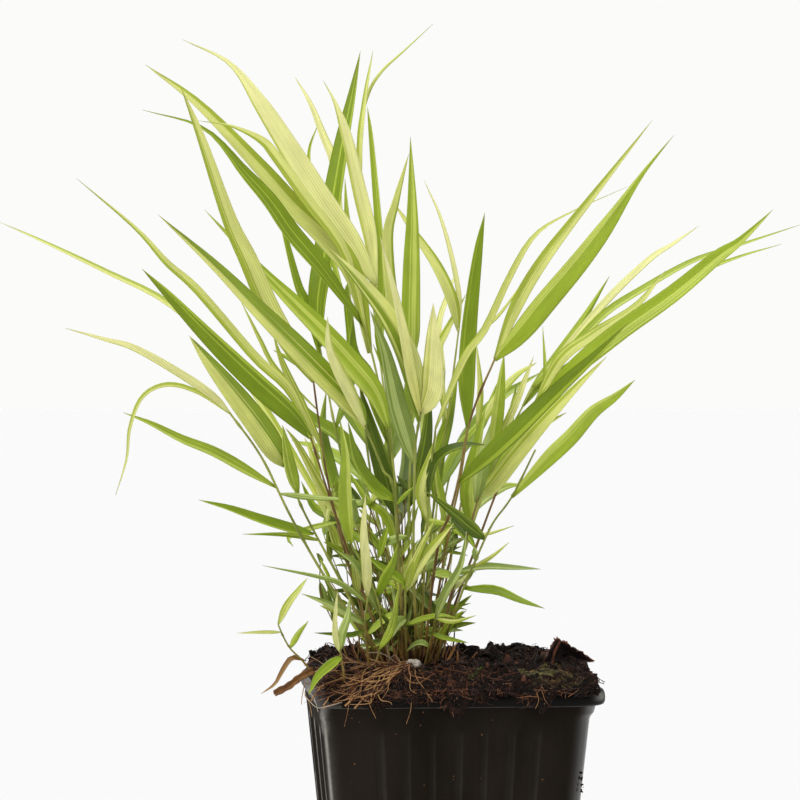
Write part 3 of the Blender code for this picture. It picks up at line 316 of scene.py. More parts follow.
        ("m", 7.0, 30, [(-18, 45), (-14, 60), (-13, 74), (-17, 88)]),
    ]),
    "shoot_36": ("g", 1.00, 0.45, [(-8, 5), (-3, 28), (1, 45)], [
        ("g", 5.0, 30, [(1, 45), (8, 55), (17, 61), (24, 62)]),
        ("y", 4.6, 30, [(-1, 36), (-6, 48), (-7, 60), (-4, 70)]),
    ]),
    "shoot_37": ("d", 0.43, 0.50, [(-17, 5), (-27, 34), (-34, 56)], [
        ("d", 5.0, 30, [(-34, 56), (-38, 68), (-40, 80), (-39, 92)]),
        ("d", 3.6, 30, [(-31, 46), (-38, 52), (-43, 55), (-47, 63)]),
    ]),
}

# Which blades of a shoot, counted from 0, draw out into a long thin tip
LONG_TIPS = {"shoot_07": (0, 1), "shoot_08": (0, 1), "shoot_20": (0,), "shoot_21": (0,)}


def srgb(red, green, blue):
    """A colour given as it looks on a screen, from 0 to 255, as linear light."""
    linear = []
    for value in (red, green, blue):
        value = value / 255
        linear.append(value / 12.92 if value < 0.04045 else ((value + 0.055) / 1.055) ** 2.4)
    return (*linear, 1.0)


FLOOR_TONE = 0.78

# A tone is (its green, its pale colour, how much of the blade is pale)
TONES = {
    "c": (srgb(204, 211, 102), srgb(249, 247, 172), 0.86),
    "y": (srgb(174, 189, 66), srgb(231, 234, 140), 0.60),
    "t": (srgb(142, 164, 48), srgb(230, 233, 134), 0.55),
    "u": (srgb(142, 164, 48), srgb(238, 240, 148), 0.66),
    "g": (srgb(160, 182, 52), srgb(208, 221, 104), 0.32),
    "d": (srgb(128, 151, 33), srgb(180, 199, 68), 0.23),
    "s": (srgb(141, 161, 76), srgb(196, 211, 126), 0.36),
    "m": (srgb(78, 98, 16), srgb(124, 144, 40), 0.25),
    "b": (srgb(134, 96, 48), srgb(190, 150, 90), 0.40),
}
CULM_GREEN = (srgb(124, 134, 50), srgb(170, 176, 84))
CULM_BROWN = (srgb(108, 76, 38), srgb(152, 132, 70))
CULM_FOOT = (srgb(82, 54, 28), srgb(154, 118, 62))
CULM_AGED = 26.0
BROWN_CULMS = ("shoot_03", "shoot_06", "shoot_16", "shoot_20", "shoot_22", "shoot_23", "shoot_26")


# Shapes

def curve(points, share):
    """A point on the smooth curve through the points, share running from 0 to 1."""
    spans = len(points) - 1
    place = min(max(share, 0.0), 1.0) * spans
    i = min(int(place), spans - 1)
    t = place - i
    here = points[i]
    after = points[i + 1]
    before = points[i - 1] if i > 0 else here * 2 - after
    beyond = points[i + 2] if i + 2 <= spans else after * 2 - here
    return 0.5 * (
        here * 2
        + (after - before) * t
        + (before * 2 - here * 5 + after * 4 - beyond) * t * t
        + (here * 3 - before - after * 3 + beyond) * t * t * t
    )


def page_place(across, up, lean):
    """Carry a point, given as it is seen on a leaning page, into the part's frame."""
    reach = (Vector((across, up)) - CROWN).length
    depth = lean * SPREAD * (reach + CROWN_REACH)
    return seen_place(across, up, depth)


def seen_place(across, up, depth):
    """Carry a point, given as it is seen at a depth, into the part's frame."""
    grow = (VIEW_DISTANCE + depth) / VIEW_DISTANCE
    x = (across - VIEW_SIDE) * grow + VIEW_SIDE
    z = (up - VIEW_RISE) * grow + VIEW_RISE + POT_HEIGHT
    return VIEW_TURN @ Vector((x, depth, z))


def peat_height(x, y):
    """Height of the peat's surface above the rim, before its hollows."""
    out = max(abs(x), abs(y)) / PEAT_HALF
    fall = max(0.0, out - 0.8) / 0.2
    return PEAT_CROWN - (PEAT_CROWN - PEAT_EDGE) * fall * fall


def blade_width(share, long_tip=False):
    """Width of a blade along its length, as a part of its widest."""
    rise = FOOT_WIDTH + (1.0 - FOOT_WIDTH) * math.sin(min(share / WIDEST_AT, 1.0) * math.pi / 2)
    fall = 1.0 - max(0.0, (share - WIDEST_AT) / (1.0 - WIDEST_AT)) ** FULLNESS
    late = min(max((share - TIP_FROM) / TIP_OVER, 0.0), 1.0)
    drawn = TIP_DRAW * late * late * (3.0 - 2.0 * late) if long_tip else 0.0
    return SLIMNESS * rise * fall * (1.0 - drawn)


def frame_at(points, share):
    """Point, run and side of a curve, the side lying level with the view."""
    here = curve(points, share)
    ahead = curve(points, min(share + 0.02, 1.0))
    behind = curve(points, max(share - 0.02, 0.0))
    run = (ahead - behind).normalized()
    toward = VIEW_TURN @ Vector((0, -1, 0))
    side = run.cross(toward).normalized()
    return here, run, side


class Paint:
    """Colours that the leaf material reads from a mesh, one set for each of its strips."""

    def __init__(self, bm):
        self.green = bm.verts.layers.float_color.new("green")
        self.pale = bm.verts.layers.float_color.new("pale")
        self.marks = bm.verts.layers.float_color.new("marks")
        self.uv = bm.loops.layers.uv.new("strip")

    def lay(self, verts, green, pale, share, seed, kind):
        """Set the colours of some points; kind is 1 for a blade and 0 for a culm."""
        for vert in verts:
            vert[self.green] = green
            vert[self.pale] = pale
            vert[self.marks] = (share, seed, kind, 1.0)


@functools.lru_cache(maxsize=None)
def pattern(kind, columns, rows):
    """A simple shape, made once and then copied: a flat strip, a ball or a spike."""
    bm = bmesh.new()
    if kind == "strip":
        bmesh.ops.create_grid(bm, x_segments=columns, y_segments=rows, size=0.5)
        bmesh.ops.translate(bm, verts=bm.verts, vec=(0.5, 0.5, 0.0))
    elif kind == "ball":
        bmesh.ops.create_icosphere(bm, subdivisions=rows, radius=1.0)
    else:
        bmesh.ops.create_cone(bm, cap_ends=False, segments=columns, radius1=1.0, radius2=0.1, depth=1.0)
    mesh = bpy.data.meshes.new("pattern")
    bm.to_mesh(mesh)
    bm.free()
    return mesh


def add_copy(bm, kind, columns, rows):
    """Add a copy of a simple shape and give its points."""
    before = len(bm.verts)
    bm.from_mesh(pattern(kind, columns, rows))
    bm.verts.ensure_lookup_table()
    return bm.verts[before:]


def strip_of(bm, columns, rows):
    """A flat strip from (0, 0) to (1, 1), its points in rows."""
    return add_copy(bm, "strip", columns, rows)


def unwrap(verts, paint):
    """Keep a flat strip's own places as its UV map."""
    inside = set(verts)
    faces = {face for vert in verts for face in vert.link_faces}
    for face in faces:
        for loop in face.loops:
            if loop.vert in inside:
                loop[paint.uv].uv = (loop.vert.co.x, loop.vert.co.y)


def add_blade(bm, paint, points, widest, turn, tone, rng, long_tip=False):
    """Bend a flat strip into a pleated, keeled blade along its curve."""
    green, pale, share = TONES[tone]
    across = (points[-1] - points[0]).dot(VIEW_TURN @ Vector((1, 0, 0)))
    swing = math.radians(turn * TURN_GAIN)
    lift = -swing if across > 0 else swing
    length = sum((b - a).length for a, b in zip(points, points[1:]))
    columns = BLADE_COLUMNS if widest > 2.4 else 4
    rows = max(10, min(BLADE_ROWS, int(length / 2.6)))
    verts = strip_of(bm, columns, rows)
    unwrap(verts, paint)
    seed = rng.random()
    wave = rng.uniform(0.0, 6.0)
    fold = rng.uniform(0.10, 0.26)
    curl = rng.uniform(-0.35, 0.35)
    own_share = min(0.95, max(0.05, share + rng.uniform(-0.08, 0.08)))
    flip = tone == "u" or (tone != "t" and rng.random() < 0.5)
    for vert in verts:
        u = 1.0 - vert.co.x if flip else vert.co.x
        t = vert.co.y
        here, run, side = frame_at(points, t)
        twist = lift + curl * max(0.0, t - 0.35)
        side = Matrix.Rotation(twist, 3, run) @ side
        below = run.cross(side).normalized()
        half = max(0.12 * (1.0 - t), 0.5 * widest * blade_width(t, long_tip) / math.cos(swing))
        reach = (u - 0.5) * 2.0
        ripple = math.sin(t * 9.0 + wave) * 0.04 * abs(reach) ** 3
        deep = half * fold * (1.0 - abs(reach) ** 1.2) + half * ripple
        deep += 0.03 * half * math.cos(u * math.pi * 10.0) * (1.0 - t)
        vert.co = (here + side * reach * half + below * deep) * MM
    paint.lay(verts, green, pale, own_share, seed, 1.0)


def add_culm(bm, paint, points, radius, rng, brown, sides=CULM_SIDES, rows=CULM_ROWS):
    """Roll a flat strip into a culm with swollen joints, each nudging it a little aside."""
    verts = strip_of(bm, sides, rows)
    unwrap(verts, paint)
    joints = [rng.uniform(low, low + 0.1) for low in (0.14, 0.38, 0.62, 0.85)]
    bend = [rng.uniform(-0.5, 0.5) for joint in joints]
    seed = rng.random()
    tones = CULM_BROWN if brown else CULM_GREEN
    length = sum((b - a).length for a, b in zip(points, points[1:]))
    for vert in verts:
        t = vert.co.y
        aged = max(0.0, 1.0 - t * length / CULM_AGED)
        low, high = [Vector(fresh).lerp(Vector(old), aged) for fresh, old in zip(tones, CULM_FOOT)]
        paint.lay([vert], low, high, 0.5, seed, 0.0)
        angle = vert.co.x * 2 * math.pi
        here, run, side = frame_at(points, t)
        below = run.cross(side).normalized()
        size = radius * (1.0 - (1.0 - CULM_TIP) * t) * 0.62
        for joint, kick in zip(joints, bend):
            size += radius * 0.35 * math.exp(-((t - joint) / 0.014) ** 2)
            here = here + side * kick * 0.3 * math.exp(-((t - joint) / 0.08) ** 2)
        vert.co = (here + (side * math.cos(angle) + below * math.sin(angle)) * size) * MM


def shoot_curves(lean, culm, blades):
    """The curves of a shoot's culm and blades, as the solid has them."""
    stem = [page_place(across, up, lean) for across, up in culm]
    foot = stem[0]
    foot.z = POT_HEIGHT + peat_height(foot.x, foot.y) - 1.5
    lines = []
    for i, (tone, widest, turn, line) in enumerate(blades):
        own_lean = lean + BLADE_FAN * (i - 0.5 * (len(blades) - 1))
        points = [page_place(across, up, own_lean) for across, up in line]
        points[0] = page_place(line[0][0], line[0][1], lean)
        lines.append(points)
    return stem, lines


def finish_piece(name, bm, mats, nodes, smooth=True):
    """Turn a bmesh into a riding piece with its materials."""
    mesh = bpy.data.meshes.new(name)
    bm.to_mesh(mesh)
    bm.free()
    for polygon in mesh.polygons:
        polygon.use_smooth = smooth
    piece = bpy.data.objects.new(name, mesh)
    bpy.context.scene.collection.objects.link(piece)
    for mat in mats:
        mesh.materials.append(mat)
    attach(piece, "root")
    if nodes:
        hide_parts(*nodes)
    return piece


def build_shoot(name, shoot, leaf, seed):
    """A shoot's fine culm and blades in place of its solid."""
    tone, lean, radius, culm, blades = shoot
    rng = random.Random(seed)
    stem, lines = shoot_curves(lean, culm, blades)
    bm = bmesh.new()
    paint = Paint(bm)
    add_culm(bm, paint, stem, radius, rng, name in BROWN_CULMS)
    long_tips = LONG_TIPS.get(name, ())
    for i, (blade_tone, widest, turn, line) in enumerate(blades):
        add_blade(bm, paint, lines[i], widest, turn, blade_tone, rng, i in long_tips)
    bmesh.ops.remove_doubles(bm, verts=bm.verts, dist=0.000002)
    piece = finish_piece(name + "_leaves", bm, [leaf], [name])
    solid = piece.modifiers.new("thickness", "SOLIDIFY")
    solid.thickness = 0.00018
    solid.offset = 0.0
    return piece


# Materials

def new_group(name, inputs, outputs):
    """An empty shader node group with named sockets."""
    group = bpy.data.node_groups.new(name, "ShaderNodeTree")
    for label, kind, value in inputs:
        socket = group.interface.new_socket(label, in_out="INPUT", socket_type=kind)
        if value is not None:
            socket.default_value = value
    for label, kind in outputs:
        group.interface.new_socket(label, in_out="OUTPUT", socket_type=kind)
    entry = group.nodes.new("NodeGroupInput")
    leave = group.nodes.new("NodeGroupOutput")
    return group, entry, leave


def math_node(tree, operation, first, second=None, clamp=False):
    """A Math node fed by sockets or plain numbers; gives its output."""
    made = tree.nodes.new("ShaderNodeMath")
    made.operation = operation
    made.use_clamp = clamp
    for socket, value in zip(made.inputs, (first, second)):
        if value is None:
            continue
        if isinstance(value, bpy.types.NodeSocket):
            tree.links.new(value, socket)
        else:
            socket.default_value = value
    return made.outputs[0]


def mix_colour(tree, factor, first, second, blend="MIX"):
    """A colour mix fed by sockets or plain colours; gives its output."""
    made = tree.nodes.new("ShaderNodeMix")
    made.data_type = "RGBA"
    made.blend_type = blend
    for index, value in ((0, factor), (6, first), (7, second)):
        if isinstance(value, bpy.types.NodeSocket):
            tree.links.new(value, made.inputs[index])
        else:
            made.inputs[index].default_value = value
    return made.outputs[2]


def ramp_value(tree, value, low, high):
    """A smooth step from 0 to 1 between two numbers."""
    made = tree.nodes.new("ShaderNodeMapRange")
    made.interpolation_type = "SMOOTHSTEP"
    tree.links.new(value, made.inputs[0])
    made.inputs[1].default_value = low
    made.inputs[2].default_value = high
    return made.outputs[0]


def noise_node(tree, vector, scale, detail=3.0, rough=0.55):
    """A noise texture's value."""
    made = tree.nodes.new("ShaderNodeTexNoise")
    made.inputs["Scale"].default_value = scale
    made.inputs["Detail"].default_value = detail
    made.inputs["Roughness"].default_value = rough
    tree.links.new(vector, made.inputs["Vector"])
    return made.outputs["Fac"]


def stretch(tree, vector, scale):
    """A vector scaled along each axis."""
    made = tree.nodes.new("ShaderNodeMapping")
    tree.links.new(vector, made.inputs["Vector"])
    made.inputs["Scale"].default_value = scale
    return made.outputs[0]


def blade_stripes_group():
    """Long stripes, veins and mottling that run along a blade."""
    group, entry, leave = new_group(
        "blade_stripes",
        [
            ("Strip", "NodeSocketVector", None),
            ("Seed", "NodeSocketFloat", 0.0),
            ("Share", "NodeSocketFloat", 0.5),
        ],
        [
            ("Pale", "NodeSocketFloat"),
            ("Vein", "NodeSocketFloat"),
            ("Mottle", "NodeSocketFloat"),
            ("Tip", "NodeSocketFloat"),
        ],
    )
    split = group.nodes.new("ShaderNodeSeparateXYZ")
    group.links.new(entry.outputs["Strip"], split.inputs[0])
    across = split.outputs[0]
    along = split.outputs[1]
    seed = math_node(group, "MULTIPLY", entry.outputs["Seed"], 37.0)
    join = group.nodes.new("ShaderNodeCombineXYZ")
    group.links.new(across, join.inputs[0])
    group.links.new(math_node(group, "MULTIPLY", along, 0.05), join.inputs[1])
    group.links.new(seed, join.inputs[2])
    broad = noise_node(group, join.outputs[0], 3.6, 2.0, 0.6)
    fine = noise_node(group, join.outputs[0], 13.0, 1.0, 0.5)
    stripe = math_node(group, "MULTIPLY", math_node(group, "SUBTRACT", broad, 0.5), 2.6)
    calm = math_node(group, "SUBTRACT", 1.0, along)
    streaks = math_node(group, "MULTIPLY", math_node(group, "SUBTRACT", fine, 0.5), 1.5)
    narrow = math_node(group, "MULTIPLY", streaks, calm)
    place = math_node(group, "SUBTRACT", entry.outputs["Share"], across)
    total = math_node(group, "ADD", math_node(group, "ADD", place, stripe), narrow)
    group.links.new(ramp_value(group, total, -0.13, 0.13), leave.inputs["Pale"])
    wave = math_node(group, "SINE", math_node(group, "MULTIPLY", across, 62.0))
    uneven = noise_node(group, join.outputs[0], 19.0, 1.0, 0.5)
    vein = math_node(group, "ADD", math_node(group, "MULTIPLY", wave, 0.28), uneven)
    group.links.new(math_node(group, "MULTIPLY", vein, calm), leave.inputs["Vein"])
    wide = group.nodes.new("ShaderNodeCombineXYZ")
    group.links.new(across, wide.inputs[0])
    group.links.new(math_node(group, "MULTIPLY", along, 3.0), wide.inputs[1])
    group.links.new(seed, wide.inputs[2])
    group.links.new(noise_node(group, wide.outputs[0], 2.2, 3.0, 0.5), leave.inputs["Mottle"])
    group.links.new(ramp_value(group, along, 0.86, 1.02), leave.inputs["Tip"])
    return group


def grain_group():
    """Fine and coarse unevenness on Object coordinates, for peat, bark and plastic."""
    group, entry, leave = new_group(
        "grain",
        [("Place", "NodeSocketVector", None)],
        [("Fine", "NodeSocketFloat"), ("Coarse", "NodeSocketFloat"), ("Specks", "NodeSocketFloat")],
    )
    place = entry.outputs["Place"]
    group.links.new(noise_node(group, place, 2600.0, 4.0, 0.6), leave.inputs["Fine"])
    group.links.new(noise_node(group, place, 240.0, 4.0, 0.6), leave.inputs["Coarse"])
    dots = group.nodes.new("ShaderNodeTexVoronoi")
    dots.inputs["Scale"].default_value = 560.0
    group.links.new(place, dots.inputs["Vector"])
    near = math_node(group, "SUBTRACT", 1.0, ramp_value(group, dots.outputs["Distance"], 0.08, 0.17))
    group.links.new(near, leave.inputs["Specks"])
    return group


def start_material(name, rough):
    """A material, its tree, its shader and its Object coordinates."""
    mat = bpy.data.materials.new(name)
    mat.use_nodes = True
    tree = mat.node_tree
    shader = tree.nodes["Principled BSDF"]
    shader.inputs["Roughness"].default_value = rough
    coords = tree.nodes.new("ShaderNodeTexCoord")
    return mat, tree, shader, coords


def add_bump(tree, shader, height, strength, distance):
    """Feed a height through a Bump node into the shader."""
    bump = tree.nodes.new("ShaderNodeBump")
    bump.inputs["Strength"].default_value = strength
    bump.inputs["Distance"].default_value = distance
    tree.links.new(height, bump.inputs["Height"])
    tree.links.new(bump.outputs[0], shader.inputs["Normal"])


def attribute(tree, name):
    """An attribute of the mesh."""
    made = tree.nodes.new("ShaderNodeAttribute")
    made.attribute_name = name
    return made


def leaf_material(stripes):
    """Striped blades and smooth culms, coloured by each strip's own paint."""
    mat, tree, shader, coords = start_material("striped_leaf", 0.42)
    shader.inputs["Specular IOR Level"].default_value = 0.24
    green = attribute(tree, "green")
    pale = attribute(tree, "pale")
    marks = attribute(tree, "marks")
    split = tree.nodes.new("ShaderNodeSeparateColor")
    tree.links.new(marks.outputs["Color"], split.inputs[0])
    share, seed, kind = split.outputs
    strip = tree.nodes.new("ShaderNodeUVMap")
    strip.uv_map = "strip"
    look = tree.nodes.new("ShaderNodeGroup")
    look.node_tree = stripes
    tree.links.new(strip.outputs[0], look.inputs["Strip"])
    tree.links.new(seed, look.inputs["Seed"])
    tree.links.new(share, look.inputs["Share"])
    paper = mix_colour(tree, look.outputs["Pale"], green.outputs["Color"], pale.outputs["Color"])
    dark = math_node(tree, "MULTIPLY", look.outputs["Vein"], 0.75, clamp=True)
    deep = mix_colour(tree, 1.0, green.outputs["Color"], srgb(218, 218, 170), "MULTIPLY")
    veined = mix_colour(tree, dark, paper, deep)
    mottle = math_node(tree, "ADD", math_node(tree, "MULTIPLY", look.outputs["Mottle"], 0.5), 0.75)
    shade = tree.nodes.new("ShaderNodeCombineColor")
    for socket in shade.inputs[:3]:
        tree.links.new(mottle, socket)
    varied = mix_colour(tree, 1.0, veined, shade.outputs[0], "MULTIPLY")
    dry = math_node(tree, "MULTIPLY", look.outputs["Tip"], 0.45)
    blade = mix_colour(tree, dry, varied, srgb(142, 136, 62))
    place = coords.outputs["Object"]
    patch = ramp_value(tree, noise_node(tree, place, 60.0, 3.0, 0.6), 0.38, 0.62)
    stem = mix_colour(tree, patch, green.outputs["Color"], pale.outputs["Color"])
    colour = mix_colour(tree, kind, stem, blade)
    tree.links.new(colour, shader.inputs["Base Color"])
    return mat


def peat_material(grain):
    """Dark wet peat with browner crumbs and small painted glints."""
    mat, tree, shader, coords = start_material("damp_peat", 0.9)
    look = tree.nodes.new("ShaderNodeGroup")
    look.node_tree = grain
    tree.links.new(coords.outputs["Object"], look.inputs["Place"])
    shader.inputs["Specular IOR Level"].default_value = 0.2
    base = mix_colour(tree, ramp_value(tree, look.outputs["Coarse"], 0.42, 0.72), srgb(7, 4, 3), srgb(40, 24, 16))
    crumb = mix_colour(tree, ramp_value(tree, look.outputs["Fine"], 0.55, 0.76), base, srgb(108, 72, 48))
    # Tiny specks on the crumbs are painted pale as glints.
    bright = math_node(tree, "MULTIPLY", look.outputs["Specks"], ramp_value(tree, look.outputs["Fine"], 0.45, 0.6))
    glint = mix_colour(tree, math_node(tree, "MULTIPLY", bright, 0.6), crumb, srgb(184, 158, 132))
    tree.links.new(glint, shader.inputs["Base Color"])
    add_bump(tree, shader, look.outputs["Fine"], 0.8, 0.0006)
    return mat


def tinted_material(name, dark, middle, light, rough):
    """Fibres that each have their own place between a dark and a light colour."""
    mat, tree, shader, coords = start_material(name, rough)
    tint = attribute(tree, "tint")
    split = tree.nodes.new("ShaderNodeSeparateColor")
    tree.links.new(tint.outputs["Color"], split.inputs[0])
    place = coords.outputs["Object"]
    blotch = math_node(tree, "SUBTRACT", noise_node(tree, place, 420.0, 3.0, 0.6), 0.5)
    share = math_node(tree, "ADD", split.outputs[0], blotch, clamp=True)
    lower = mix_colour(tree, ramp_value(tree, share, 0.0, 0.55), dark, middle)
    upper = mix_colour(tree, ramp_value(tree, share, 0.5, 1.0), lower, light)
    tree.links.new(upper, shader.inputs["Base Color"])
    add_bump(tree, shader, noise_node(tree, place, 2200.0, 2.0, 0.6), 0.4, 0.0002)
    return mat


def fibre_material(name, dark, light, rough):
    """A fibrous material that varies from one place to the next."""
    mat, tree, shader, coords = start_material(name, rough)
    place = coords.outputs["Object"]
    broad = ramp_value(tree, noise_node(tree, place, 120.0, 3.0, 0.6), 0.3, 0.7)
    fine = noise_node(tree, stretch(tree, place, (900.0, 900.0, 300.0)), 1.0, 3.0, 0.6)
    colour = mix_colour(tree, broad, dark, light)
    streak = math_node(tree, "MULTIPLY", fine, 0.5)
    tree.links.new(mix_colour(tree, streak, colour, dark), shader.inputs["Base Color"])
    add_bump(tree, shader, fine, 0.5, 0.0003)
    return mat


def plastic_material(name, grain, shine, dark, light):
    """Black moulded plastic with scuffed edges, dust, rust-brown specks of peat and painted highlights, and a
    glossy coat where the mesh asks for it.
    """
    mat, tree, shader, coords = start_material(name, 0.5)
    shader.inputs["Specular IOR Level"].default_value = shine
    place = coords.outputs["Object"]
    look = tree.nodes.new("ShaderNodeGroup")
    look.node_tree = grain
    tree.links.new(place, look.inputs["Place"])
    bloom = ramp_value(tree, noise_node(tree, stretch(tree, place, (40.0, 40.0, 14.0)), 1.0, 4.0, 0.6), 0.35, 0.75)
    base = mix_colour(tree, bloom, dark, light)
    some = ramp_value(tree, noise_node(tree, place, 300.0, 2.0, 0.5), 0.60, 0.70)
    specks = math_node(tree, "MULTIPLY", look.outputs["Specks"], some)
    dirty = mix_colour(tree, specks, base, srgb(136, 98, 62))
    wear_highlight_gloss = tree.nodes.new("ShaderNodeSeparateColor")
    tree.links.new(attribute(tree, "wear_highlight_gloss").outputs["Color"], wear_highlight_gloss.inputs[0])
    uneven = math_node(tree, "ADD", math_node(tree, "MULTIPLY", look.outputs["Coarse"], 1.4), 0.3)
    # The paint's red channel lightens the plastic towards pale grey: scuffs and dust, and painted highlights.
    wear_and_highlight = math_node(tree, "MULTIPLY", wear_highlight_gloss.outputs[0], uneven, clamp=True)
    tree.links.new(mix_colour(tree, wear_and_highlight, dirty, srgb(196, 192, 184)), shader.inputs["Base Color"])
    tree.links.new(wear_highlight_gloss.outputs[1], shader.inputs["Coat Weight"])
    shader.inputs["Coat Roughness"].default_value = 0.26
    shader.inputs["Coat IOR"].default_value = 1.5
    rough = math_node(tree, "ADD", math_node(tree, "MULTIPLY", bloom, 0.14), math_node(tree, "MULTIPLY", wear_and_highlight, 0.3))
    tree.links.new(math_node(tree, "ADD", rough, 0.36), shader.inputs["Roughness"])
    add_bump(tree, shader, look.outputs["Coarse"], 0.12, 0.0004)
    return mat


# Pot

# Outward directions of painted marks: a highlight down the wall's left front corner, scuffs under the rim there,
# and a highlight on the rim's right front corner
PAINTED_HIGHLIGHT_CORNER = Vector((-0.89, -0.456, 0.0))
SCUFFED_CORNER = Vector((-0.93, -0.37, 0.0))
PAINTED_RIM_HIGHLIGHT_CORNER = Vector((0.80, -0.60, 0.0))


def along_square(half, corner, share):
    """A point of a rounded square's outline, its outward direction, its place along a side and the side."""
    side = 2.0 * (half - corner)
    arc = 0.5 * math.pi * corner
    quarter = min(int(share * 4), 3)
    run = (share * 4 - quarter) * (side + arc)
    if run < side:
        across = run - side / 2
        spot = Vector((across, -half, 0.0))
        out = Vector((0.0, -1.0, 0.0))
    else:
        angle = -math.pi / 2 + (run - side) / arc * math.pi / 2
        out = Vector((math.cos(angle), math.sin(angle), 0.0))
        spot = Vector((half - corner, corner - half, 0.0)) + out * corner
        across = 1000.0
    turn = Matrix.Rotation(quarter * math.pi / 2, 3, "Z")
    return turn @ spot, turn @ out, across, quarter


def groove(across, z, ribs, wide):
    """How far a side's wall is pressed in, at a place along it and a height."""
    scale = (BASE_HALF + (WALL_TOP_HALF - BASE_HALF) * z / POT_HEIGHT) / WALL_TOP_HALF
    off = min(abs(across - rib * scale) for rib in ribs)
    if off > 1.3 * wide:
        return 0.0
    deep = RIB_DEPTH * wide * (1.0 - min(1.0, max(0.0, (off / wide - 0.5) / 0.8)) ** 2)
    fade = min(1.0, max(0.0, (z - 2.0) / 2.0)) * min(1.0, max(0.0, (81.5 - z) / 3.0))
    return deep * fade


def wear_and_highlight_at(out, across, side, y, z):
    """How pale the plastic is painted at a place, from 0 to 1: scuffs and dust, with painted highlights on the
    wall's left front corner, on the rim's right front corner and along the grooves.
    """
    low = POT_HEIGHT - RIM_DROP
    neck = POT_HEIGHT - NECK_DROP
    wear_and_highlight = 0.0
    # A pale line runs along the lower edge of the rim.
    if abs(z - low) < 0.1:
        wear_and_highlight = 0.13
    if z > low and out.x < -0.4:
        wear_and_highlight = max(wear_and_highlight, 0.24 * min(1.0, max(0.0, (y + 15.0) / 6.0)) * min(1.0, max(0.2, (30.0 - y) / 30.0)))
    if z > low and out.x < -0.25 and out.y < -0.25:
        wear_and_highlight = max(wear_and_highlight, 0.10)
    # A painted highlight on the rim's right front corner.
    if abs(z - low - 3.0) < 0.8:
        wear_and_highlight = max(wear_and_highlight, 0.40 * math.exp((out.dot(PAINTED_RIM_HIGHLIGHT_CORNER) - 1.0) / 0.03))
    if neck - 4.5 < z < low:
        wear_and_highlight = max(wear_and_highlight, 0.44 * math.exp((out.dot(SCUFFED_CORNER) - 1.0) / 0.035))
    if z > neck:
        return wear_and_highlight
    # A painted highlight runs down the wall's left front corner: a narrow bright line in a broader faint glow.
    near = out.dot(PAINTED_HIGHLIGHT_CORNER) - 1.0
    wear_and_highlight = max(wear_and_highlight, 0.62 * math.exp(near / 0.006), 0.10 * math.exp(near / 0.05))
    ribs, wide = ((FRONT_RIBS, 1.0), (SIDE_RIBS, 1.5))[side % 2]
    scale = (BASE_HALF + (WALL_TOP_HALF - BASE_HALF) * z / POT_HEIGHT) / WALL_TOP_HALF
    off = min((across - rib * scale for rib in ribs), key=abs)
    if z > 82.0 or abs(off) > 1.6 * wide:
        return wear_and_highlight
    # On the other faces each groove's right edge is painted lighter as a highlight, and its floor and left edge a
    # little lighter as painted light against their shade, more so lower down.
    if side != 3 and abs(off) < 1.3 * wide:
        rib_highlight = 0.014 if off > 0.7 * wide else 0.005
        return max(wear_and_highlight, rib_highlight * (1.0 + min(1.0, (82.0 - z) / 20.0)))
    # On the left face both edges of each groove are painted pale as reflections, beside the glossy coat there.
    if side == 3 and 0.8 < abs(off) < 2.3:
        return max(wear_and_highlight, 0.10)
    return wear_and_highlight


def gloss_at(out, across, side, y, z):
    """How glossy the wall is at a place, from 0 to 1: at its right front corner and along the left grooves."""
    if z > POT_HEIGHT - RIM_DROP:
        return 0.0
    scale = (BASE_HALF + (WALL_TOP_HALF - BASE_HALF) * z / POT_HEIGHT) / WALL_TOP_HALF
    off = min(abs(across - rib * scale) for rib in SIDE_RIBS)
    if side == 3 and z < 82.0 and 0.8 < off < 2.3:
        return 1.0
    turned = min(1.0, max(0.0, (out.x - 0.2) / 0.45))
    return turned * turned * math.exp(-max(0.0, y + 30.0) / 4.0)


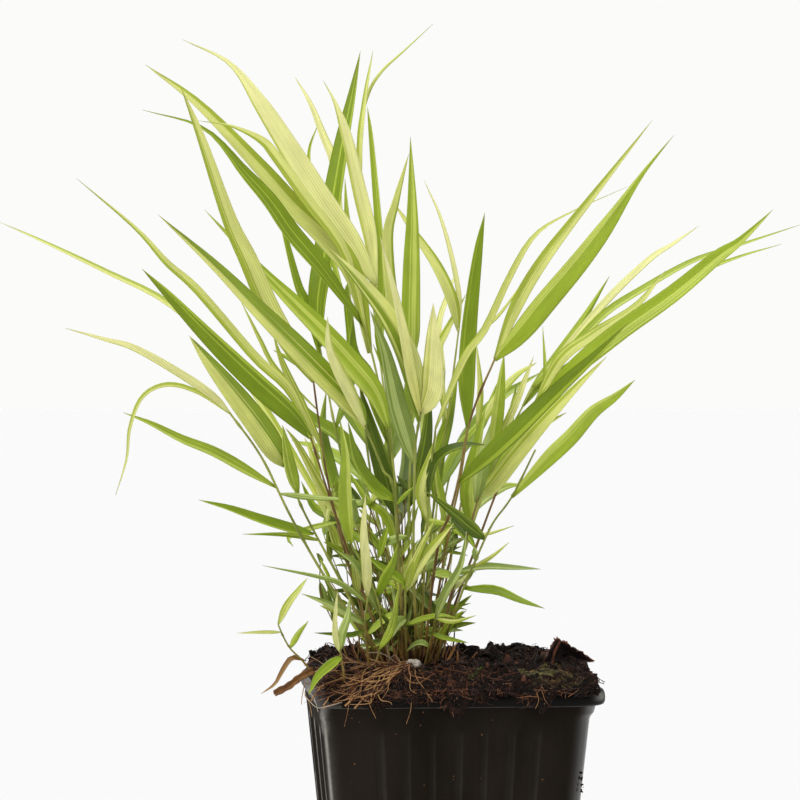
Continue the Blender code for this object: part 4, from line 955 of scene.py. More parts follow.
def pot_profile():
    """The wall's section as (half width, corner, height, shift, grooved), from the foot up and over."""
    top = POT_HEIGHT
    low = top - RIM_DROP
    neck = top - NECK_DROP
    rows = [
        (BASE_HALF - 3.0, 4.0, 0.02, 1.0, False),
        (BASE_HALF - 3.0, 4.0, 0.0, 1.0, False),
        (BASE_HALF - 0.9, 6.0, 0.0, 1.0, False),
        (BASE_HALF - 0.25, 6.4, 0.3, 1.0, False),
        (BASE_HALF, 6.6, 0.9, 1.0, False),
    ]
    for i in range(29):
        z = 2.0 + i * (neck - 3.4 - 2.0) / 28
        share = z / neck
        rows.append((BASE_HALF + (WALL_TOP_HALF - BASE_HALF) * share, 6.8 + 2.0 * share, z, 1.0, True))
    rows += [
        (WALL_TOP_HALF - 0.1, 8.8, neck - 1.4, 1.0, False),
        (WALL_TOP_HALF + 0.3, 8.9, neck - 0.5, 1.0, False),
        (NECK_HALF - 0.3, 9.2, neck, 0.8, False),
        (NECK_HALF, 9.3, neck + 0.6, 0.7, False),
        (NECK_HALF + 0.1, 9.3, low - 0.2, 0.4, False),
        (NECK_HALF + 0.4, 9.4, low, 0.2, False),
        (RIM_HALF - 0.9, RIM_CORNER - 0.5, low + 0.05, 0.0, False),
        (RIM_HALF - 0.3, RIM_CORNER, low + 0.4, 0.0, False),
        (RIM_HALF, RIM_CORNER, low + 1.2, 0.0, False),
        (RIM_HALF + 0.05, RIM_CORNER, low + 2.4, 0.0, False),
        (RIM_HALF - 0.1, RIM_CORNER, top - 1.6, 0.0, False),
        (RIM_HALF - 0.5, RIM_CORNER - 0.4, top - 0.6, 0.0, False),
        (RIM_HALF - 1.2, RIM_CORNER - 0.9, top - 0.1, 0.0, False),
        (RIM_HALF - 2.2, RIM_CORNER - 1.4, top - 0.1, 0.0, False),
        (RIM_HALF - 3.0, 8.0, top - 0.5, 0.3, False),
        (WALL_TOP_HALF - WALL + 0.6, 7.8, top - 1.6, 0.8, False),
        (WALL_TOP_HALF - WALL, 7.6, top - 8.0, 1.0, False),
        (BASE_HALF - WALL, 5.6, FLOOR + 0.5, 1.0, False),
        (BASE_HALF - WALL - 0.6, 5.4, FLOOR, 1.0, False),
    ]
    return rows


def add_floor(bm, z):
    """The floor at a height, with its four drainage holes."""
    edge = (BASE_HALF - 1.0) / 2
    for a in (-1, 1):
        for b in (-1, 1):
            verts = strip_of(bm, 32, 3)
            for vert in verts:
                angle = vert.co.x * 2 * math.pi
                way = Vector((math.cos(angle), math.sin(angle)))
                hole = Vector((HOLE_OFFSET, HOLE_OFFSET)) + way * HOLE_RADIUS
                square = Vector((edge, edge)) + way / max(abs(way.x), abs(way.y)) * edge
                spot = hole.lerp(square, vert.co.y)
                vert.co = Vector((a * spot.x + WALL_SHIFT, b * spot.y, z)) * MM


def add_holes(bm):
    """The walls of the drainage holes."""
    for a in (-1, 1):
        for b in (-1, 1):
            for vert in strip_of(bm, 32, 1):
                angle = vert.co.x * 2 * math.pi
                x = HOLE_OFFSET + HOLE_RADIUS * math.cos(angle)
                y = HOLE_OFFSET + HOLE_RADIUS * math.sin(angle)
                vert.co = Vector((a * x + WALL_SHIFT, b * y, 0.02 + (FLOOR - 0.02) * vert.co.y)) * MM


def build_pot(wall, shaded_lip):
    """The moulded pot, with a rolled rim, a neck and soft grooves."""
    rows = pot_profile()
    bm = bmesh.new()
    wear_highlight_gloss = bm.verts.layers.float_color.new("wear_highlight_gloss")
    verts = strip_of(bm, 560, len(rows) - 1)
    for vert in verts:
        half, corner, z, shift, grooved = rows[round(vert.co.y * (len(rows) - 1))]
        spot, out, across, side = along_square(half, corner, vert.co.x)
        vert[wear_highlight_gloss] = (wear_and_highlight_at(out, across, side, spot.y, z), gloss_at(out, across, side, spot.y, z), 0, 1)
        if grooved:
            ribs, wide = ((FRONT_RIBS, 1.0), (SIDE_RIBS, 1.5))[side % 2]
            spot = spot - out * groove(across, z, ribs, wide)
        vert.co = Vector((spot.x + WALL_SHIFT * shift, spot.y, z)) * MM
    add_floor(bm, 0.02)
    add_floor(bm, FLOOR)
    add_holes(bm)
    bmesh.ops.remove_doubles(bm, verts=bm.verts, dist=0.000004)
    bmesh.ops.recalc_face_normals(bm, faces=bm.faces)
    # Faces of the rim take the second, darker plastic: painted shade on the rim.
    for face in bm.faces:
        if face.calc_center_median().z > (POT_HEIGHT - RIM_DROP - 0.1) * MM:
            face.material_index = 1
    return finish_piece("moulded_pot", bm, [wall, shaded_lip], ["pot"])


# Ground pieces

def ground(x, y):
    """Height of the peat's broken surface above the rim."""
    spot = Vector((x, y, 0.0))
    lump = noise.fractal(spot * 0.12, 0.9, 2.1, 3) * 2.8
    crumb = noise.fractal(spot * 0.42 + Vector((9, 4, 2)), 0.7, 2.0, 5) * 1.4
    pit = max(0.0, noise.noise(spot * 0.16 + Vector((3, 7, 1))) - 0.1) * 6.0
    edge = max(abs(x), abs(y)) / PEAT_HALF
    calm = 1.0 - 0.75 * max(0.0, (edge - 0.88) / 0.12)
    hump = 2.6 * math.exp(-((x - 16) / 14) ** 2 - ((y - 30) / 12) ** 2)
    hump += 1.6 * math.exp(-((x + 30) / 9) ** 2 - ((y - 30) / 10) ** 2)
    hump += 1.5 * math.exp(-((x - 38) / 5) ** 2 - ((y + 12) / 9) ** 2)
    return peat_height(x, y) + (lump + crumb - pit) * calm + hump - 0.4


@functools.lru_cache(maxsize=None)
def ground_cell(i, j):
    """The broken surface's height in one small square of a grid."""
    return ground(i * 0.4, j * 0.4)


def near_ground(x, y):
    """The broken surface's height, to the nearest place of a fine grid."""
    return ground_cell(round(x / 0.4), round(y / 0.4))


def surface(x, y):
    """Height above the rim of the peat, with what has crept over the front of the rim."""
    if y > -40.0:
        return near_ground(x, y)
    fall = min(1.0, (-40.0 - y) / 5.2)
    return near_ground(x, -40.0) * (1.0 - fall) + 1.0


def land(across, up, lift=0.35):
    """Where a point seen in front of the rim or on the peat lies."""
    for i in range(110):
        depth = -56.0 + i
        spot = seen_place(across, up, depth)
        over = spot.z - POT_HEIGHT
        if spot.y > -RIM_HALF - 1.6 and over < 0.9:
            return Vector((spot.x, spot.y - lift, spot.z))
        inside = abs(spot.x) < PEAT_HALF and spot.y > -RIM_HALF
        if inside and over < surface(spot.x, spot.y) + lift:
            return spot
    return seen_place(across, up, -30.0)


def add_tube(bm, points, radius, sides, rows, taper, tint, layer):
    """Roll a strip into a thin root or fibre along a curve."""
    verts = strip_of(bm, sides, rows)
    for vert in verts:
        t = vert.co.y
        angle = vert.co.x * 2 * math.pi
        here = curve(points, t)
        ahead = curve(points, min(t + 0.03, 1.0))
        behind = curve(points, max(t - 0.03, 0.0))
        run = (ahead - behind).normalized()
        side = run.cross(Vector((0.3, 0.2, 1.0))).normalized()
        below = run.cross(side)
        size = radius * (1.0 - taper * t)
        vert.co = (here + (side * math.cos(angle) + below * math.sin(angle)) * size) * MM
        vert[layer] = tint


def build_peat(peat):
    """Crumbly peat: a dense lumpy top on the same root ball as the solid."""
    bm = bmesh.new()
    bmesh.ops.create_grid(bm, x_segments=230, y_segments=230, size=1.0)
    for vert in bm.verts:
        a = vert.co.x
        b = vert.co.y
        edge = max(abs(a), abs(b))
        other = min(abs(a), abs(b)) / max(edge, 0.001)
        pull = 1.0 - 0.055 * other ** 6 * edge
        x = a * PEAT_HALF * pull
        y = b * PEAT_HALF * pull
        z = ground(x, y)
        if edge > 0.97:
            ragged = noise.noise(Vector((x, y, 5.0)) * 0.5) * 0.5
            x *= 1.0 + 0.02 * ragged
            y *= 1.0 + 0.02 * ragged
            z = z * (1.0 - (edge - 0.97) / 0.03)
        vert.co = Vector((x, y, POT_HEIGHT + z)) * MM
    for drop, narrow in ((1.6, 0.9), (POT_HEIGHT - 2.0, 0.70)):
        rim = [edge for edge in bm.edges if edge.is_boundary]
        made = bmesh.ops.extrude_edge_only(bm, edges=rim)
        low = [item for item in made["geom"] if isinstance(item, bmesh.types.BMVert)]
        for vert in low:
            side = max(abs(vert.co.x), abs(vert.co.y)) / (PEAT_HALF * MM)
            scale = narrow / max(side, 0.5)
            vert.co = Vector((vert.co.x * scale + WALL_SHIFT * MM, vert.co.y * scale, (POT_HEIGHT - drop) * MM))
    bmesh.ops.holes_fill(bm, edges=[edge for edge in bm.edges if edge.is_boundary])
    bmesh.ops.recalc_face_normals(bm, faces=bm.faces)
    return finish_piece("peat_ball", bm, [peat], ["peat"])


def build_crumbs(peat, bark):
    """Loose crumbs and chips of peat on top of the root ball."""
    rng = random.Random(21)
    bm = bmesh.new()
    for i in range(1700):
        x = rng.uniform(-1, 1) * (PEAT_HALF - 0.8)
        y = rng.uniform(-1, 1) * (PEAT_HALF - 0.8)
        size = 0.25 + 1.8 * rng.random() ** 4
        verts = add_copy(bm, "ball", 0, 1)
        axis = Vector((rng.random(), rng.random(), rng.random() + 0.1))
        turn = Matrix.Rotation(rng.uniform(0, 6.28), 3, axis)
        wide = rng.uniform(0.6, 1.8)
        flat = rng.uniform(0.35, 0.9)
        centre = Vector((x, y, POT_HEIGHT + surface(x, y) + size * 0.1))
        for vert in verts:
            spot = vert.co * rng.uniform(0.7, 1.2) * size
            vert.co = (centre + turn @ Vector((spot.x * wide, spot.y, spot.z * flat))) * MM
        if rng.random() < 0.16:
            for face in {f for v in verts for f in v.link_faces}:
                face.material_index = 1
    for i in range(12):
        verts = add_copy(bm, "ball", 0, 1)
        centre = seen_place(43.0 + rng.gauss(0, 0.25), rng.gauss(-34.0, 2.2), -33.0)
        size = rng.uniform(0.15, 0.45)
        for vert in verts:
            vert.co = (centre + vert.co * rng.uniform(0.6, 1.3) * size) * MM
    return finish_piece("peat_crumbs", bm, [peat, bark], [], smooth=False)


# Clumps of peat that hang over the front of the rim: (place along it, half width, hang)
SPILLS = [(-38, 5, 3.4), (-27, 4, 6.0), (-15, 6, 4.2), (-2.5, 3.4, 8.6), (6, 3, 3.2), (24, 3, 6.6), (37, 4, 1.6)]


def spill_hang(x):
    """How far the peat hangs down over the front of the rim."""
    hang = 0.7 + 0.9 * noise.fractal(Vector((x * 0.35, 2.0, 0.0)), 0.8, 2.0, 3)
    for middle, half, drop in SPILLS:
        hang = max(hang, drop * math.exp(-((x - middle) / half) ** 2))
    return max(0.3, hang + 0.9 * noise.fractal(Vector((x * 1.3, 8.0, 0.0)), 0.8, 2.0, 3))


def build_spill(peat):
    """Peat that has crept over the front of the rim."""
    bm = bmesh.new()
    verts = strip_of(bm, 420, 44)
    for vert in verts:
        x = -42.5 + 84.0 * vert.co.x
        t = vert.co.y
        hang = spill_hang(x)
        rough = noise.fractal(Vector((x * 0.9, t * 9.0, 1.0)), 0.6, 2.1, 5)
        pits = abs(noise.noise(Vector((x * 1.4, t * 14.0, 6.0))))
        if t < 0.4:
            y = -40.0 - 5.2 * t / 0.4 - rough * 0.5
            z = surface(x, -40.0 - 5.2 * t / 0.4) - 0.6 + rough * 0.9 - pits * 0.8
        else:
            fall = (t - 0.4) / 0.6
            y = -RIM_HALF - 0.3 - 0.9 * math.sin(fall * math.pi) - (rough * 0.8 - pits * 0.8) * (1.0 - fall)
            y = min(y, -RIM_HALF - 0.1)
            z = 0.4 - (hang + 0.4) * fall + rough * 0.6
        vert.co = Vector((x, y, POT_HEIGHT + z)) * MM
    piece = finish_piece("peat_spill", bm, [peat], [])
    solid = piece.modifiers.new("thickness", "SOLIDIFY")
    solid.thickness = 0.0006
    return piece


# Roots that the front of the pot shows, each as (radius, points as seen)
ROOTS = [
    (0.40, [(-44, -4), (-40, 1.0), (-34, 2.6), (-27, 3.6), (-20, 5.0)]),
    (0.34, [(-44, -7.5), (-40, -2.5), (-33, 0.0), (-26, 0.8), (-19, 2.6)]),
    (0.30, [(-40.5, -9.6), (-34, -7.6), (-28, -4.6), (-23, -0.5), (-18, 3.2)]),
    (0.34, [(-33, -9.0), (-30, -6.0), (-26, -2.8), (-21, 1.4), (-15, 4.4)]),
    (0.28, [(-30, -9.8), (-27, -6.4), (-24, -3.0), (-20, 1.0)]),
    (0.30, [(-22, -7.6), (-21, -3.0), (-17.5, 1.4), (-13, 2.2)]),
    (0.34, [(-22, 4.6), (-17, 2.4), (-13, -0.8), (-9.6, -1.8), (-6, 0.2), (-3.8, 0.6)]),
    (0.13, [(-12.2, -1.0), (-11.8, -5.6), (-12.0, -10.4), (-13.4, -14.8)]),
    (0.12, [(-31.6, -7.0), (-32.2, -11.0), (-33.2, -15.6)]),
    (0.11, [(-26.0, -5.0), (-25.0, -9.0), (-23.6, -12.0), (-23.2, -13.0)]),
    (0.26, [(-44, 1.6), (-38, 3.0), (-33, 2.6), (-26, 4.4), (-18, 5.2)]),
    (0.20, [(-46.0, -2.0), (-46.8, -6.2), (-47.0, -8.6)]),
    (0.18, [(-42.8, -1.2), (-38, 0.4), (-35, -1.6), (-36.4, -2.6)]),
    (0.15, [(-45.6, -5.6), (-44.2, -9.0), (-43.6, -12.4)]),
    (0.24, [(-40, -8.8), (-38.4, -6.6), (-37.6, -3.4)]),
    (0.26, [(-20, 5.6), (-16.6, 4.2), (-12, 3.6), (-8, 4.6)]),
    (0.10, [(1, -3), (2.0, -7), (1.2, -10), (1.8, -12.5)]),
    (0.11, [(28, -4), (29.0, -7), (28.0, -10)]),
    (0.10, [(30, -4), (31.0, -7), (32.4, -9)]),
]


# Pale threads among the culms and along the lip, as seen
PALE_ROOTS = [
    [(-19.5, 10.6), (-19.3, 8.2), (-18.6, 6.3), (-17.0, 7.3), (-15.4, 5.7)],
    [(-26.0, 8.0), (-21.8, 7.9), (-18.6, 6.3), (-16.0, 4.1)],
    [(-18.6, 6.3), (-19.8, 3.2), (-22.0, 1.4)],
    [(-45.4, -6.4), (-42.2, -9.4), (-39.0, -9.2), (-33.3, -7.6)],
    [(-44.8, -3.6), (-42.6, -7.4), (-41.6, -11.0)],
]
ROOT_HUB = Vector((-9.0, 5.5))
RUSTY_HUB = Vector((-3.0, 6.0))


def build_roots(roots, pale):
    """Loose brown roots that fan out from the clump over the front of the rim."""
    rng = random.Random(5)
    bm = bmesh.new()
    tint = bm.verts.layers.float_color.new("tint")
    for line in PALE_ROOTS:
        points = [land(a, b, 0.6) if b < 3.0 else seen_place(a, b, -26.0) for a, b in line]
        add_tube(bm, points, 0.13, 5, 18, 0.4, (rng.uniform(0.4, 0.9), 0, 0, 1), tint)
    for face in bm.faces:
        face.material_index = 1
    for radius, line in ROOTS:
        points = [land(a, b, 0.5) for a, b in line]
        add_tube(bm, points, radius * 0.86, 6, 26, 0.5, (rng.uniform(0.7, 1.0), 0, 0, 1), tint)
    for i in range(520):
        far = i < 400
        golden = far and i % 9 == 0
        hub, low, high, reach = (ROOT_HUB, 186, 240, 27.0) if far else (RUSTY_HUB, 180, 360, 13.0)
        fan = math.radians(rng.uniform(low, high))
        spot = hub + Vector((math.cos(fan), math.sin(fan) * 0.5)) * rng.uniform(1.0, reach)
        way = fan + rng.gauss(0, 0.4 if far else 0.9)
        step = rng.uniform(2.0, 4.6) if golden else rng.uniform(0.6, 2.8 if far else 1.5)
        line = [spot]
        for k in range(5):
            way += rng.gauss(0, 0.34)
            spot = spot + Vector((math.cos(way), math.sin(way) * 0.62)) * step
            line.append(spot)
        lift = rng.uniform(1.5, 2.5) if golden else rng.uniform(0.2, 2.2)
        points = []
        for a, b in line:
            b += 0.8 * max(0.0, -7.0 - b)
            points.append(land(max(-46.0, a), b, lift + rng.uniform(-0.15, 0.3)))
        thick = rng.uniform(0.12, 0.20) if golden else rng.uniform(0.05, 0.15)
        dull = rng.choice((rng.uniform(0.0, 0.3), rng.uniform(0.0, 0.3), rng.uniform(0.2, 1.0)))
        shade = rng.uniform(0.65, 1.0) if golden else dull * (1.0 if far else 0.6)
        add_tube(bm, points, thick, 5, 14, 0.6, (shade, 0, 0, 1), tint)
    for i in range(170):
        spot = Vector((rng.gauss(-1.0, 7.0), rng.uniform(-6.5, 3.0)))
        way = rng.uniform(0, 6.28)
        points = []
        for k in range(5):
            way += rng.gauss(0, 0.6)
            spot = spot + Vector((math.cos(way), math.sin(way) * 0.7)) * rng.uniform(0.6, 1.9)
            points.append(land(spot.x, max(-8.0, spot.y), rng.uniform(0.1, 0.9)))
        add_tube(bm, points, rng.uniform(0.05, 0.13), 4, 12, 0.5, (rng.random() * 0.6, 0, 0, 1), tint)
    for i in range(62):
        across = rng.choice((rng.uniform(-42, -20), rng.gauss(-1.0, 3.5), rng.gauss(25, 2.0), rng.uniform(-44, 40)))
        drop = rng.uniform(0.5, 5.5)
        line = [(across, -3.0), (across + rng.gauss(0, 1.4), -4.2 - drop * 0.5)]
        line.append((across + rng.gauss(0, 2.4), -4.6 - drop))
        points = [land(a, b, rng.uniform(0.3, 0.9)) for a, b in line]
        add_tube(bm, points, rng.uniform(0.04, 0.10), 4, 10, 0.6, (rng.random() * 0.5, 0, 0, 1), tint)
    bmesh.ops.remove_doubles(bm, verts=bm.verts, dist=0.000004)
    return finish_piece("root_tangle", bm, [roots, pale], ["root_mat"])


def build_fibres(fibre):
    """Short rusty fibres bedded in the peat."""
    rng = random.Random(14)
    bm = bmesh.new()
    tint = bm.verts.layers.float_color.new("tint")
    for i in range(1300):
        x = rng.uniform(-1, 1) * (PEAT_HALF - 1.2)
        y = rng.uniform(-PEAT_HALF + 0.8, PEAT_HALF - 1.2)
        length = rng.uniform(1.5, 8.0)
        way = rng.uniform(0, 2 * math.pi)
        points = []
        for k in range(4):
            reach = (k / 3 - 0.5) * length
            px = x + reach * math.cos(way) + rng.uniform(-0.8, 0.8)
            py = y + reach * math.sin(way) + rng.uniform(-0.8, 0.8)
            px = max(-PEAT_HALF, min(PEAT_HALF, px))
            py = max(-PEAT_HALF, min(PEAT_HALF, py))
            points.append(Vector((px, py, POT_HEIGHT + surface(px, py) + rng.uniform(-0.2, 0.9))))
        rust = 0.5 + 0.9 * noise.noise(Vector((x * 0.07, y * 0.09, 4.0))) + rng.uniform(-0.3, 0.3)
        rust -= 0.35 * min(1.0, max(0.0, (x - 4.0) / 8.0)) * min(1.0, max(0.0, (y + 40.0) / 10.0))
        rust += 0.4 * math.exp(-((x + 3.0) / 9.0) ** 2 - ((y + 22.0) / 12.0) ** 2)
        add_tube(bm, points, rng.uniform(0.05, 0.15), 4, 8, 0.4, (min(1.0, max(0.0, rust)), 0, 0, 1), tint)
    for i in range(620):
        across = rng.uniform(-43, 42)
        low = -4.4 - 0.95 * spill_hang(across)
        up = rng.uniform(low, 2.6)
        way = rng.uniform(0, 6.28)
        reach = rng.uniform(0.6, 2.6)
        points = []
        for k in (-1, 0, 1):
            a = across + k * reach * math.cos(way) + rng.uniform(-0.4, 0.4)
            b = max(low - 0.8, up + k * reach * math.sin(way) * 0.6)
            points.append(land(a, b, rng.uniform(0.3, 0.9)))
        add_tube(bm, points, rng.uniform(0.05, 0.14), 4, 6, 0.4, (rng.random() ** 1.6, 0, 0, 1), tint)
    bmesh.ops.remove_doubles(bm, verts=bm.verts, dist=0.000004)
    return finish_piece("peat_fibres", bm, [fibre], [])


# Moss cushions on the peat: (across, up as seen, radius, how green)
MOSS = [
    (9.0, 1.4, 1.8, 1.10),
    (7.4, 0.4, 1.2, 1.00),
    (33, 1.0, 3.4, 0.12),
    (36, 3.4, 2.0, 0.30),
    (40, -1.6, 3.0, 0.10),
    (29, -1.4, 2.4, 0.08),
    (31, 4.2, 1.6, 0.40),
    (-40, 0.0, 2.0, 0.10),
]


def build_moss(moss):
    """Cushions of fine upright moss."""
    rng = random.Random(31)
    bm = bmesh.new()
    tint = bm.verts.layers.float_color.new("tint")
    for across, up, radius, green in MOSS:
        middle = land(across, up)
        for i in range(int(46 * radius)):
            way = rng.uniform(0, 2 * math.pi)
            reach = radius * math.sqrt(rng.random())
            x = max(-PEAT_HALF, min(PEAT_HALF, middle.x + reach * math.cos(way)))
            y = max(-PEAT_HALF, min(PEAT_HALF, middle.y + 1.6 * reach * math.sin(way)))
            foot = Vector((x, y, POT_HEIGHT + surface(x, y) - 0.2))
            lean = Vector((rng.uniform(-0.6, 0.6), rng.uniform(-0.6, 0.6), rng.uniform(0.5, 1.1)))
            wide = rng.uniform(0.12, 0.24)
            for vert in add_copy(bm, "spike", 4, 0):
                share = vert.co.z + 0.5
                flat = Vector((vert.co.x, vert.co.y, 0.0)) * wide
                vert.co = (foot + flat + lean * share) * MM
                vert[tint] = (green * rng.uniform(0.7, 1.0), 0, 0, 1)
    for i in range(150):
        share = rng.random()
        start = Vector((rng.uniform(22, 31), rng.uniform(-0.5, 2.6)))
        end = Vector((rng.uniform(34, 43), rng.uniform(-4.6, 0.6)))
        points = []
        for part in (0.0, 0.35, 0.7, 1.0):
            spot = start.lerp(end, part * (0.5 + 0.5 * share))
            spot.y += 1.3 * math.sin(part * math.pi)
            points.append(land(spot.x, spot.y, rng.uniform(0.1, 0.6)))
        add_tube(bm, points, rng.uniform(0.05, 0.14), 4, 10, 0.5, (rng.uniform(0.2, 0.62), 0, 0, 1), tint)
    return finish_piece("moss_cushions", bm, [moss], [])


def rest_on_peat(across, up, depth):
    """Where a culm that is seen at a depth stands on the peat."""
    spot = seen_place(across, up, depth)
    spot.z = POT_HEIGHT + ground(spot.x, spot.y) - 1.0
    return spot


def in_crown(spot):
    """Keep a seen point, given as (across, up, depth), within the crown."""
    high = 9.0 - 0.16 * max(0.0, spot.y - 44.0)
    low = -41.0 + 0.2 * max(0.0, spot.y - 40.0)
    across = min(high, max(low, spot.x))
    top = 66.0 - max(0.0, across + 14.0)
    return Vector((across, min(spot.y, top), spot.z))


def build_crown(leaf):
    """Thin young culms that fan and cross, with the small leaves that crowd the foot of the clump."""
    rng = random.Random(77)
    bm = bmesh.new()
    paint = Paint(bm)
    for i in range(118):
        across = rng.gauss(-13.5, 6.0)
        depth = rng.uniform(-14, 16)
        height = rng.uniform(10, 60)
        swing = (rng.gauss(-0.04, 0.30) + (across + 13.0) * 0.018) * height
        push = depth * rng.uniform(0.2, 0.9) * height / 50
        kink = rng.gauss(0, 2.0)
        foot = rest_on_peat(across, 4.0, depth)
        line = []
        for share in (0.0, 0.3, 0.65, 1.0):
            sway = kink * math.sin(share * 2.6)
            line.append(in_crown(Vector((across + swing * share ** 1.2 + sway, 4 + height * share, depth + push * share))))
        stem = [foot] + [seen_place(*spot) for spot in line[1:]]
        add_culm(bm, paint, stem, rng.uniform(0.14, 0.30), rng, rng.random() < 0.5, 5, 16)
        for k in range(rng.choice((1, 2, 2, 3))):
            base = curve(line, rng.uniform(0.25, 1.0) if k else 1.0)
            side = rng.choice((-1, 1))
            if abs(swing) > 8:
                side = 1 if swing > 0 else -1
            length = rng.uniform(6, 17)
            rise = math.radians(rng.choice((rng.uniform(-10, 30), rng.uniform(30, 85), rng.uniform(40, 85))))
            tip = base + Vector((side * math.cos(rise), math.sin(rise), rng.uniform(-0.5, 0.5))) * length
            tip = in_crown(tip)
            if (tip - base).length < 4.0:
                continue
            points = []
            for part in (0.0, 0.35, 0.7, 1.0):
                spot = base.lerp(tip, part)
                spot.y -= 0.14 * length * part * part
                points.append(seen_place(*spot))
            points[0] = seen_place(*base)
            # Leaves behind the culms get only the dark tones: painted shade inside the clump.
            tone = rng.choice("mmmmddd" if depth > 0.0 else "mddggssy")
            add_blade(bm, paint, points, rng.uniform(1.0, 3.0), rng.uniform(10, 45), tone, rng)
    bmesh.ops.remove_doubles(bm, verts=bm.verts, dist=0.000002)
    piece = finish_piece("crown_leaves", bm, [leaf], [])
    solid = piece.modifiers.new("thickness", "SOLIDIFY")
    solid.thickness = 0.00014
    solid.offset = 0.0
    return piece


# Fresh orange-brown sheaths at the foot of the clump, from foot to tip as seen
BRIGHT_SHEATHS = [((1.6, 3.0), (3.0, 8.4)), ((-6.0, 9.0), (-4.4, 15.0)), ((-0.6, 4.0), (1.8, 10.0)), ((-9.0, 5.0), (-7.0, 12.0))]


def build_sheaths(husk):
    """Dry brown sheaths and broken stubs around the foot of the culms."""
    rng = random.Random(9)
    bm = bmesh.new()
    tint = bm.verts.layers.float_color.new("tint")
    for i in range(150 + len(BRIGHT_SHEATHS)):
        across = rng.gauss(-12, 7.0)
        depth = rng.uniform(-15, 14)
        foot = rest_on_peat(across, 4.0, depth)
        height = rng.uniform(2.5, 12)
        lean = (across + 12.5) * 0.03 * height + rng.gauss(0, 2.6)
        tip = foot + VIEW_TURN @ Vector((lean, rng.gauss(0, 1.4), height))
        wide = rng.uniform(0.2, 0.75)
        colour = (rng.random() ** 1.3, 0, 0, 1)
        if i >= 150:
            low, high = BRIGHT_SHEATHS[i - 150]
            foot = seen_place(*low, -14.0)
            tip = seen_place(*high, -15.0)
            wide = 0.7
            colour = (0.8, 0, 0, 1)
        middle = (foot + tip) / 2 + Vector((rng.uniform(-0.9, 0.9), rng.uniform(-0.7, 0.7), 0))
        for vert in strip_of(bm, 4, 8):
            t = vert.co.y
            here, run, side = frame_at([foot, middle, tip], t)
            below = run.cross(side).normalized()
            spin = Matrix.Rotation(i * 1.7, 3, run)
            reach = (vert.co.x - 0.5) * 2.0 * wide * (1.0 - 0.8 * t)
            hollow = 0.5 * wide * (1.0 - abs(vert.co.x - 0.5) * 2.0) * (1.0 - t)
            vert.co = (here + spin @ (side * reach + below * hollow)) * MM
            vert[tint] = colour
    piece = finish_piece("dry_sheaths", bm, [husk], [])
    solid = piece.modifiers.new("thickness", "SOLIDIFY")
    solid.thickness = 0.00012
    return piece


def build_lump(name, mat, seed, subdivisions, rough):
    """A rough lump in the box of its solid."""
    low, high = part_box(name)
    centre = (low + high) / 2
    size = (high - low) / 2
    bm = bmesh.new()
    bmesh.ops.create_icosphere(bm, subdivisions=subdivisions, radius=1.0)
    for vert in bm.verts:
        push = 1.04 + rough * noise.fractal(vert.co * 1.6 + Vector((seed, 0, 0)), 0.7, 2.0, 4)
        vert.co = centre + Vector((vert.co.x * size.x, vert.co.y * size.y, vert.co.z * size.z)) * push
    return finish_piece(name + "_rough", bm, [mat], [name])


# A thin stick that leans on the bark shard, as seen
CHIP_STICK = [(33.4, 3.6), (34.0, 7.4), (35.2, 10.2), (36.2, 12.0)]


def build_chip(bark):
    """The shard of bark: a ragged slab, hollow towards the front, with a stick against it."""
    outline = [Vector(point) for point in CHIP_OUTLINE]
    outline.append(outline[0])
    bm = bmesh.new()
    tint = bm.verts.layers.float_color.new("tint")
    verts = strip_of(bm, 110, 40)
    for vert in verts:
        edge = curve(outline, vert.co.x)
        t = vert.co.y
        if t < 0.45:
            reach = t / 0.45
            depth = -12.0 + 3.4 * (1.0 - reach * reach)
        elif t < 0.55:
            reach = 1.0
            depth = -12.0 + 6.0 * (t - 0.45) / 0.1
        else:
            reach = 1.0 - (t - 0.55) / 0.45
            depth = -6.0
        flat = CHIP_MIDDLE.lerp(edge, reach)
        spot = seen_place(flat.x, flat.y, depth)
        rough = noise.fractal(Vector((spot.x * 0.5, spot.y * 0.9, spot.z * 0.9)), 0.6, 2.1, 5)
        fray = noise.fractal(spot * 2.3 + Vector((5, 1, 2)), 0.5, 2.1, 4)
        away = (spot - seen_place(CHIP_MIDDLE.x, CHIP_MIDDLE.y, -9.0)).normalized()
        vert.co = (spot + away * (0.8 * rough + 0.9 * fray * reach ** 3)) * MM
        vert[tint] = (max(0.0, reach ** 5 * 0.75 + 0.5 * fray - 0.1), 0, 0, 1)
    stick = [seen_place(a, b, -14.0) for a, b in CHIP_STICK]
    add_tube(bm, stick, 0.5, 8, 20, 0.4, (0.75, 0, 0, 1), tint)
    bmesh.ops.remove_doubles(bm, verts=bm.verts, dist=0.00001)
    bmesh.ops.recalc_face_normals(bm, faces=bm.faces)
    return finish_piece("bark_shard", bm, [bark], ["bark_chip"])


def build_dry_leaf(dry):
    """The dead leaf on the rim's corner, creased along its length."""
    points = [page_place(a, b, DRY_LEAN) for a, b in DRY_LINE]
    bm = bmesh.new()
    verts = strip_of(bm, 8, 24)
    for vert in verts:
        t = vert.co.y
        reach = (vert.co.x - 0.5) * 2.0
        here, run, side = frame_at(points, t)
        below = run.cross(side).normalized()
        ragged = 0.12 * math.sin(t * 31.0) * abs(reach)
        deep = 0.25 * math.cos(reach * 4.0) + 0.1 * math.sin(t * 17.0)
        vert.co = (here + side * reach * (1.1 + ragged) + below * deep) * MM
    piece = finish_piece("dry_leaf_strip", bm, [dry], ["dry_leaf"])
    solid = piece.modifiers.new("thickness", "SOLIDIFY")
    solid.thickness = 0.0003
    return piece


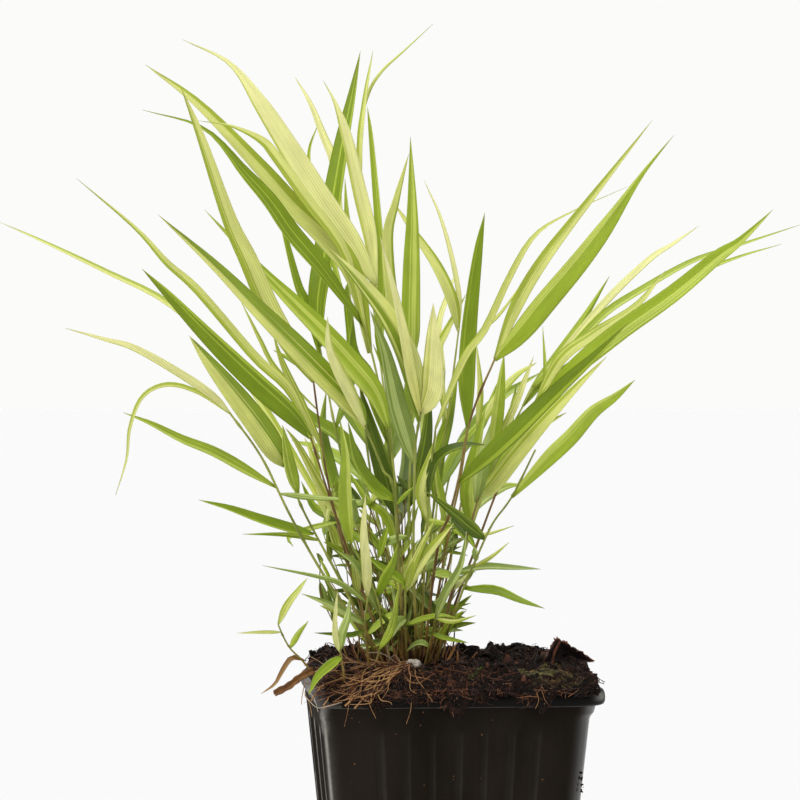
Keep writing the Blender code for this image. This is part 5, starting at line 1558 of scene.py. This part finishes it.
def build_stage():
    """A pale floor, soft light and the camera."""
    bm = bmesh.new()
    bmesh.ops.create_grid(bm, x_segments=1, y_segments=1, size=60.0)
    mesh = bpy.data.meshes.new("floor")
    bm.to_mesh(mesh)
    bm.free()
    floor = bpy.data.objects.new("floor", mesh)
    bpy.context.scene.collection.objects.link(floor)
    floor.location.z = -0.0003
    mat, tree, shader, coords = start_material("pale_floor", 0.9)
    shader.inputs["Base Color"].default_value = (FLOOR_TONE, FLOOR_TONE, FLOOR_TONE, 1.0)
    shader.inputs["Specular IOR Level"].default_value = 0.0
    mesh.materials.append(mat)
    build_world()
    add_sun("key", (38, 0, -34), 2.0, 34)
    add_sun("fill", (50, 0, 48), 0.5, 60)
    add_sun("back", (-48, 0, 10), 0.9, 50)
    camera = bpy.data.cameras.new("camera")
    camera.lens = LENS
    camera.sensor_width = 36.0
    camera.clip_start = 0.01
    camera.clip_end = 200.0
    holder = bpy.data.objects.new("camera", camera)
    bpy.context.scene.collection.objects.link(holder)
    eye = VIEW_TURN @ Vector((VIEW_SIDE, -VIEW_DISTANCE, VIEW_RISE + POT_HEIGHT))
    holder.location = eye * MM
    holder.rotation_euler = (math.pi / 2, 0.0, math.radians(-5.5))
    bpy.context.scene.camera = holder
    bpy.context.scene.view_settings.view_transform = "Standard"


def build_world():
    """A near-white room that is seen bright and lights the plant softly."""
    world = bpy.data.worlds.new("studio")
    bpy.context.scene.world = world
    world.use_nodes = True
    tree = world.node_tree
    soft = tree.nodes["Background"]
    soft.inputs[0].default_value = (1.0, 1.0, 1.0, 1.0)
    coords = tree.nodes.new("ShaderNodeTexCoord")
    split = tree.nodes.new("ShaderNodeSeparateXYZ")
    tree.links.new(coords.outputs["Generated"], split.inputs[0])
    behind = ramp_value(tree, split.outputs[1], -0.5, 0.7)
    glow = math_node(tree, "ADD", math_node(tree, "MULTIPLY", behind, 0.62), 0.16)
    tree.links.new(glow, soft.inputs[1])
    seen = tree.nodes.new("ShaderNodeBackground")
    seen.inputs[0].default_value = srgb(251, 251, 250)
    path = tree.nodes.new("ShaderNodeLightPath")
    mix = tree.nodes.new("ShaderNodeMixShader")
    tree.links.new(path.outputs["Is Camera Ray"], mix.inputs[0])
    tree.links.new(soft.outputs[0], mix.inputs[1])
    tree.links.new(seen.outputs[0], mix.inputs[2])
    tree.links.new(mix.outputs[0], tree.nodes["World Output"].inputs["Surface"])


def add_sun(name, turn, power, angle):
    """A broad soft light that falls evenly on plant and floor."""
    data = bpy.data.lights.new(name, "SUN")
    data.energy = power
    data.angle = math.radians(angle)
    lamp = bpy.data.objects.new(name, data)
    lamp.rotation_euler = [math.radians(value) for value in turn]
    bpy.context.scene.collection.objects.link(lamp)


def build():
    """Dress the whole part."""
    stripes = blade_stripes_group()
    grain = grain_group()
    leaf = leaf_material(stripes)
    peat = peat_material(grain)
    roots = tinted_material("root_fibre", srgb(38, 19, 10), srgb(120, 66, 32), srgb(192, 146, 92), 0.7)
    threads = tinted_material("pale_thread", srgb(120, 96, 72), srgb(176, 156, 132), srgb(214, 202, 186), 0.7)
    rust = tinted_material("peat_fibre", srgb(20, 11, 8), srgb(80, 44, 29), srgb(150, 100, 66), 0.8)
    moss = tinted_material("moss_green", srgb(60, 52, 30), srgb(126, 114, 62), srgb(84, 142, 24), 0.8)
    husk = tinted_material("dry_husk", srgb(46, 24, 13), srgb(116, 68, 34), srgb(176, 128, 74), 0.6)
    shard = tinted_material("bark_shard", srgb(22, 12, 8), srgb(62, 32, 19), srgb(128, 66, 38), 0.85)
    bark = fibre_material("bark_crumb", srgb(30, 15, 9), srgb(112, 60, 34), 0.85)
    dry = fibre_material("dead_leaf", srgb(96, 60, 26), srgb(160, 112, 58), 0.7)
    white = fibre_material("perlite_grain", srgb(150, 138, 122), srgb(216, 208, 196), 0.9)
    wall = plastic_material("wall_plastic", grain, 0.0, srgb(29, 25, 21), srgb(42, 37, 32))
    # The rim's plastic is a darker copy of the wall's: painted shade on the rim.
    shaded_lip = plastic_material("shaded_lip_plastic", grain, 0.09, srgb(8, 6, 5), srgb(17, 14, 12))
    build_pot(wall, shaded_lip)
    for i, (name, shoot) in enumerate(SHOOTS.items()):
        build_shoot(name, shoot, leaf, 100 + i)
    build_crown(leaf)
    build_sheaths(husk)
    build_peat(peat)
    build_crumbs(peat, bark)
    build_spill(peat)
    build_fibres(rust)
    build_roots(roots, threads)
    build_moss(moss)
    build_chip(shard)
    build_lump("perlite", white, 5.0, 4, 0.25)
    build_dry_leaf(dry)
    build_stage()
    for mesh in list(bpy.data.meshes):
        if mesh.users == 0:
            bpy.data.meshes.remove(mesh)


build()
